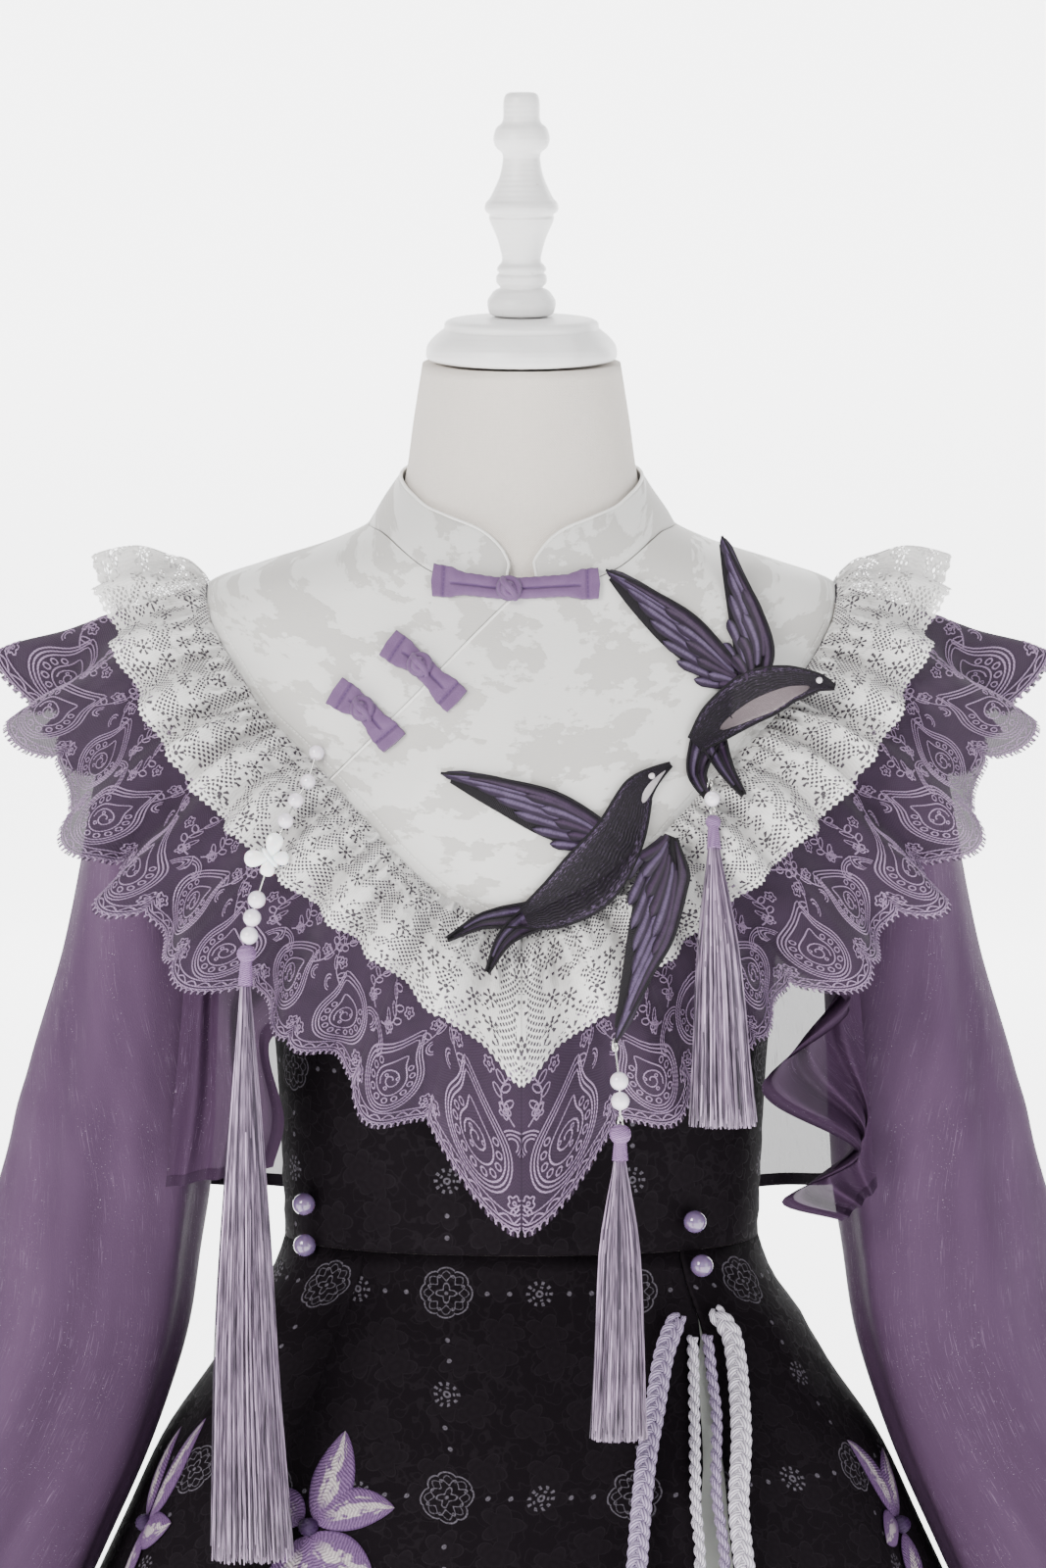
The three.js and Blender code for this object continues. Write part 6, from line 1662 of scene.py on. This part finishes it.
def butterfly(middle):
    """A carved butterfly bead seen from in front: two pairs of flat wings, which widen from a
    slim waist to their round ends, and a small body."""
    down, round_ = grid_of(17, 33)
    polar, turn = down * math.pi, round_ * math.tau
    share = (1 - np.cos(polar)) / 2
    parts = []
    for side in (-1, 1):
        for rise, long, wide in ((36, 13.5, 6.2), (-40, 10, 5.2)):
            spread, half = math.radians(rise), wide * np.sin(polar) * (0.35 + 0.65 * share)
            along, over = long * share, half * np.cos(turn)
            parts.append(as_points(side * (along * math.cos(spread) - over * math.sin(spread)),
                                   2.4 * np.sin(polar) * np.sin(turn),
                                   along * math.sin(spread) + over * math.cos(spread)))
    parts.append(as_points(1.7 * np.sin(polar) * np.cos(turn), 2.6 * np.sin(polar) * np.sin(turn),
                           6.5 * np.cos(polar)))
    lean = math.radians(38)
    tilt = np.array([[math.cos(lean), 0, math.sin(lean)], [0, 1, 0], [-math.sin(lean), 0, math.cos(lean)]])
    return [(np.asarray(middle) + part @ tilt, None) for part in parts]


for name, rows in PEARLS.items():
    grids, wires = [], []
    for x, y, z, radius in rows:
        if radius == BUTTERFLY:
            worn(lay("butterfly_bead", butterfly((x, y, z))), butterfly_white)
        elif radius > 2:
            grids.append(globe((x, y, z), radius))
        else:
            wires.append(ring_of((x, y, z), 1.9, 0.45, 0.9))
            wires.append(ring_of((x, y, z - 1.8), 1.5, 0.4, -0.5))
    worn(lay("pearls_" + name + "_string", grids), white_pearl, "pearls_" + name)
    line = by_length(rows[:, :3].astype(float))(np.linspace(0, 1, 60))
    thread = lay("pearls_" + name + "_thread", [strand(line, 0.5, 6), *wires], weld=False)
    worn(thread, silver.material)

rng = np.random.default_rng(7)
for name, shape in TASSELS.items():
    x, y, z, ball, neck = HEADS[name]
    top = np.array([x, y, z])
    root = shape[-1, [1, 2, 0]]
    turn = rng.uniform(0, math.tau, FLOSS)
    reach = np.sqrt(rng.uniform(0.02, 1, FLOSS))
    short = rng.uniform(0, 1, FLOSS) ** 3 * 11
    level = np.linspace(0, 1, FLOSS_SPANS)
    height = shape[0, 0] + short[:, None] + (shape[-1, 0] + 2 - shape[0, 0] - short[:, None]) * (1 - level)
    half = smooth(shape, 3, height)
    sway = level**2 * rng.normal(0, 0.9, (FLOSS, 1))
    sway = sway + 0.35 * np.sin(level * rng.uniform(3, 9, (FLOSS, 1)) + turn[:, None])
    path = as_points(smooth(shape, 1, height) + np.cos(turn)[:, None] * reach[:, None] * half + sway,
                     smooth(shape, 2, height) + 0.6 * (np.sin(turn)[:, None] * reach[:, None] * half + sway),
                     height)
    grid, _ = strand(path, np.linspace(0.66, 0.43, FLOSS_SPANS), 3)
    number = np.arange(FLOSS, dtype=float)[:, None, None]
    along = np.concatenate([height[:, :1], height, height[:, -1:]], 1)[..., None]
    cloth = np.stack(np.broadcast_arrays(number, along, np.zeros((1, 1, grid.shape[-2])))[:2], -1)
    skirt = lay("tassel_" + name + "_floss", [(grid, cloth)], weld=False)
    worn(skirt, silk_floss, "tassel_" + name)
    neck_line = by_length(np.array([top, root + (root - top) * 0.35], float))(np.linspace(0, 1, 60))
    swell = 1 + 0.06 * np.cos(np.linspace(0, math.tau * 13, 60))
    cap = lay("tassel_" + name + "_head", [
        wound_ball(top, ball, 0.95, turns=9),
        strand(neck_line, neck * swell * np.linspace(0.8, 1.15, 60), 18)], weld=False)
    worn(cap, silk_bound)

BEADS = [(-111, 1043.5, 1), (-112, 1020.5, 0.3), (89, 1036.5, 0.6), (93, 1012.5, 0.8)]  # x, z, stand
for number, (x, z, stand) in enumerate(BEADS, 1):
    skin = across_body(x, z, -1, DRESS_LAYER) if z > WAIST + 3 else before_skirt(x, z, 0)
    out = out_of_body(x, max(z, WAIST))
    bead = lay(f"bead_{number}_glass", [globe(skin + out * (BEAD + CLOTH / 2 + stand), BEAD)])
    worn(bead, milky_purple, f"bead_{number}")
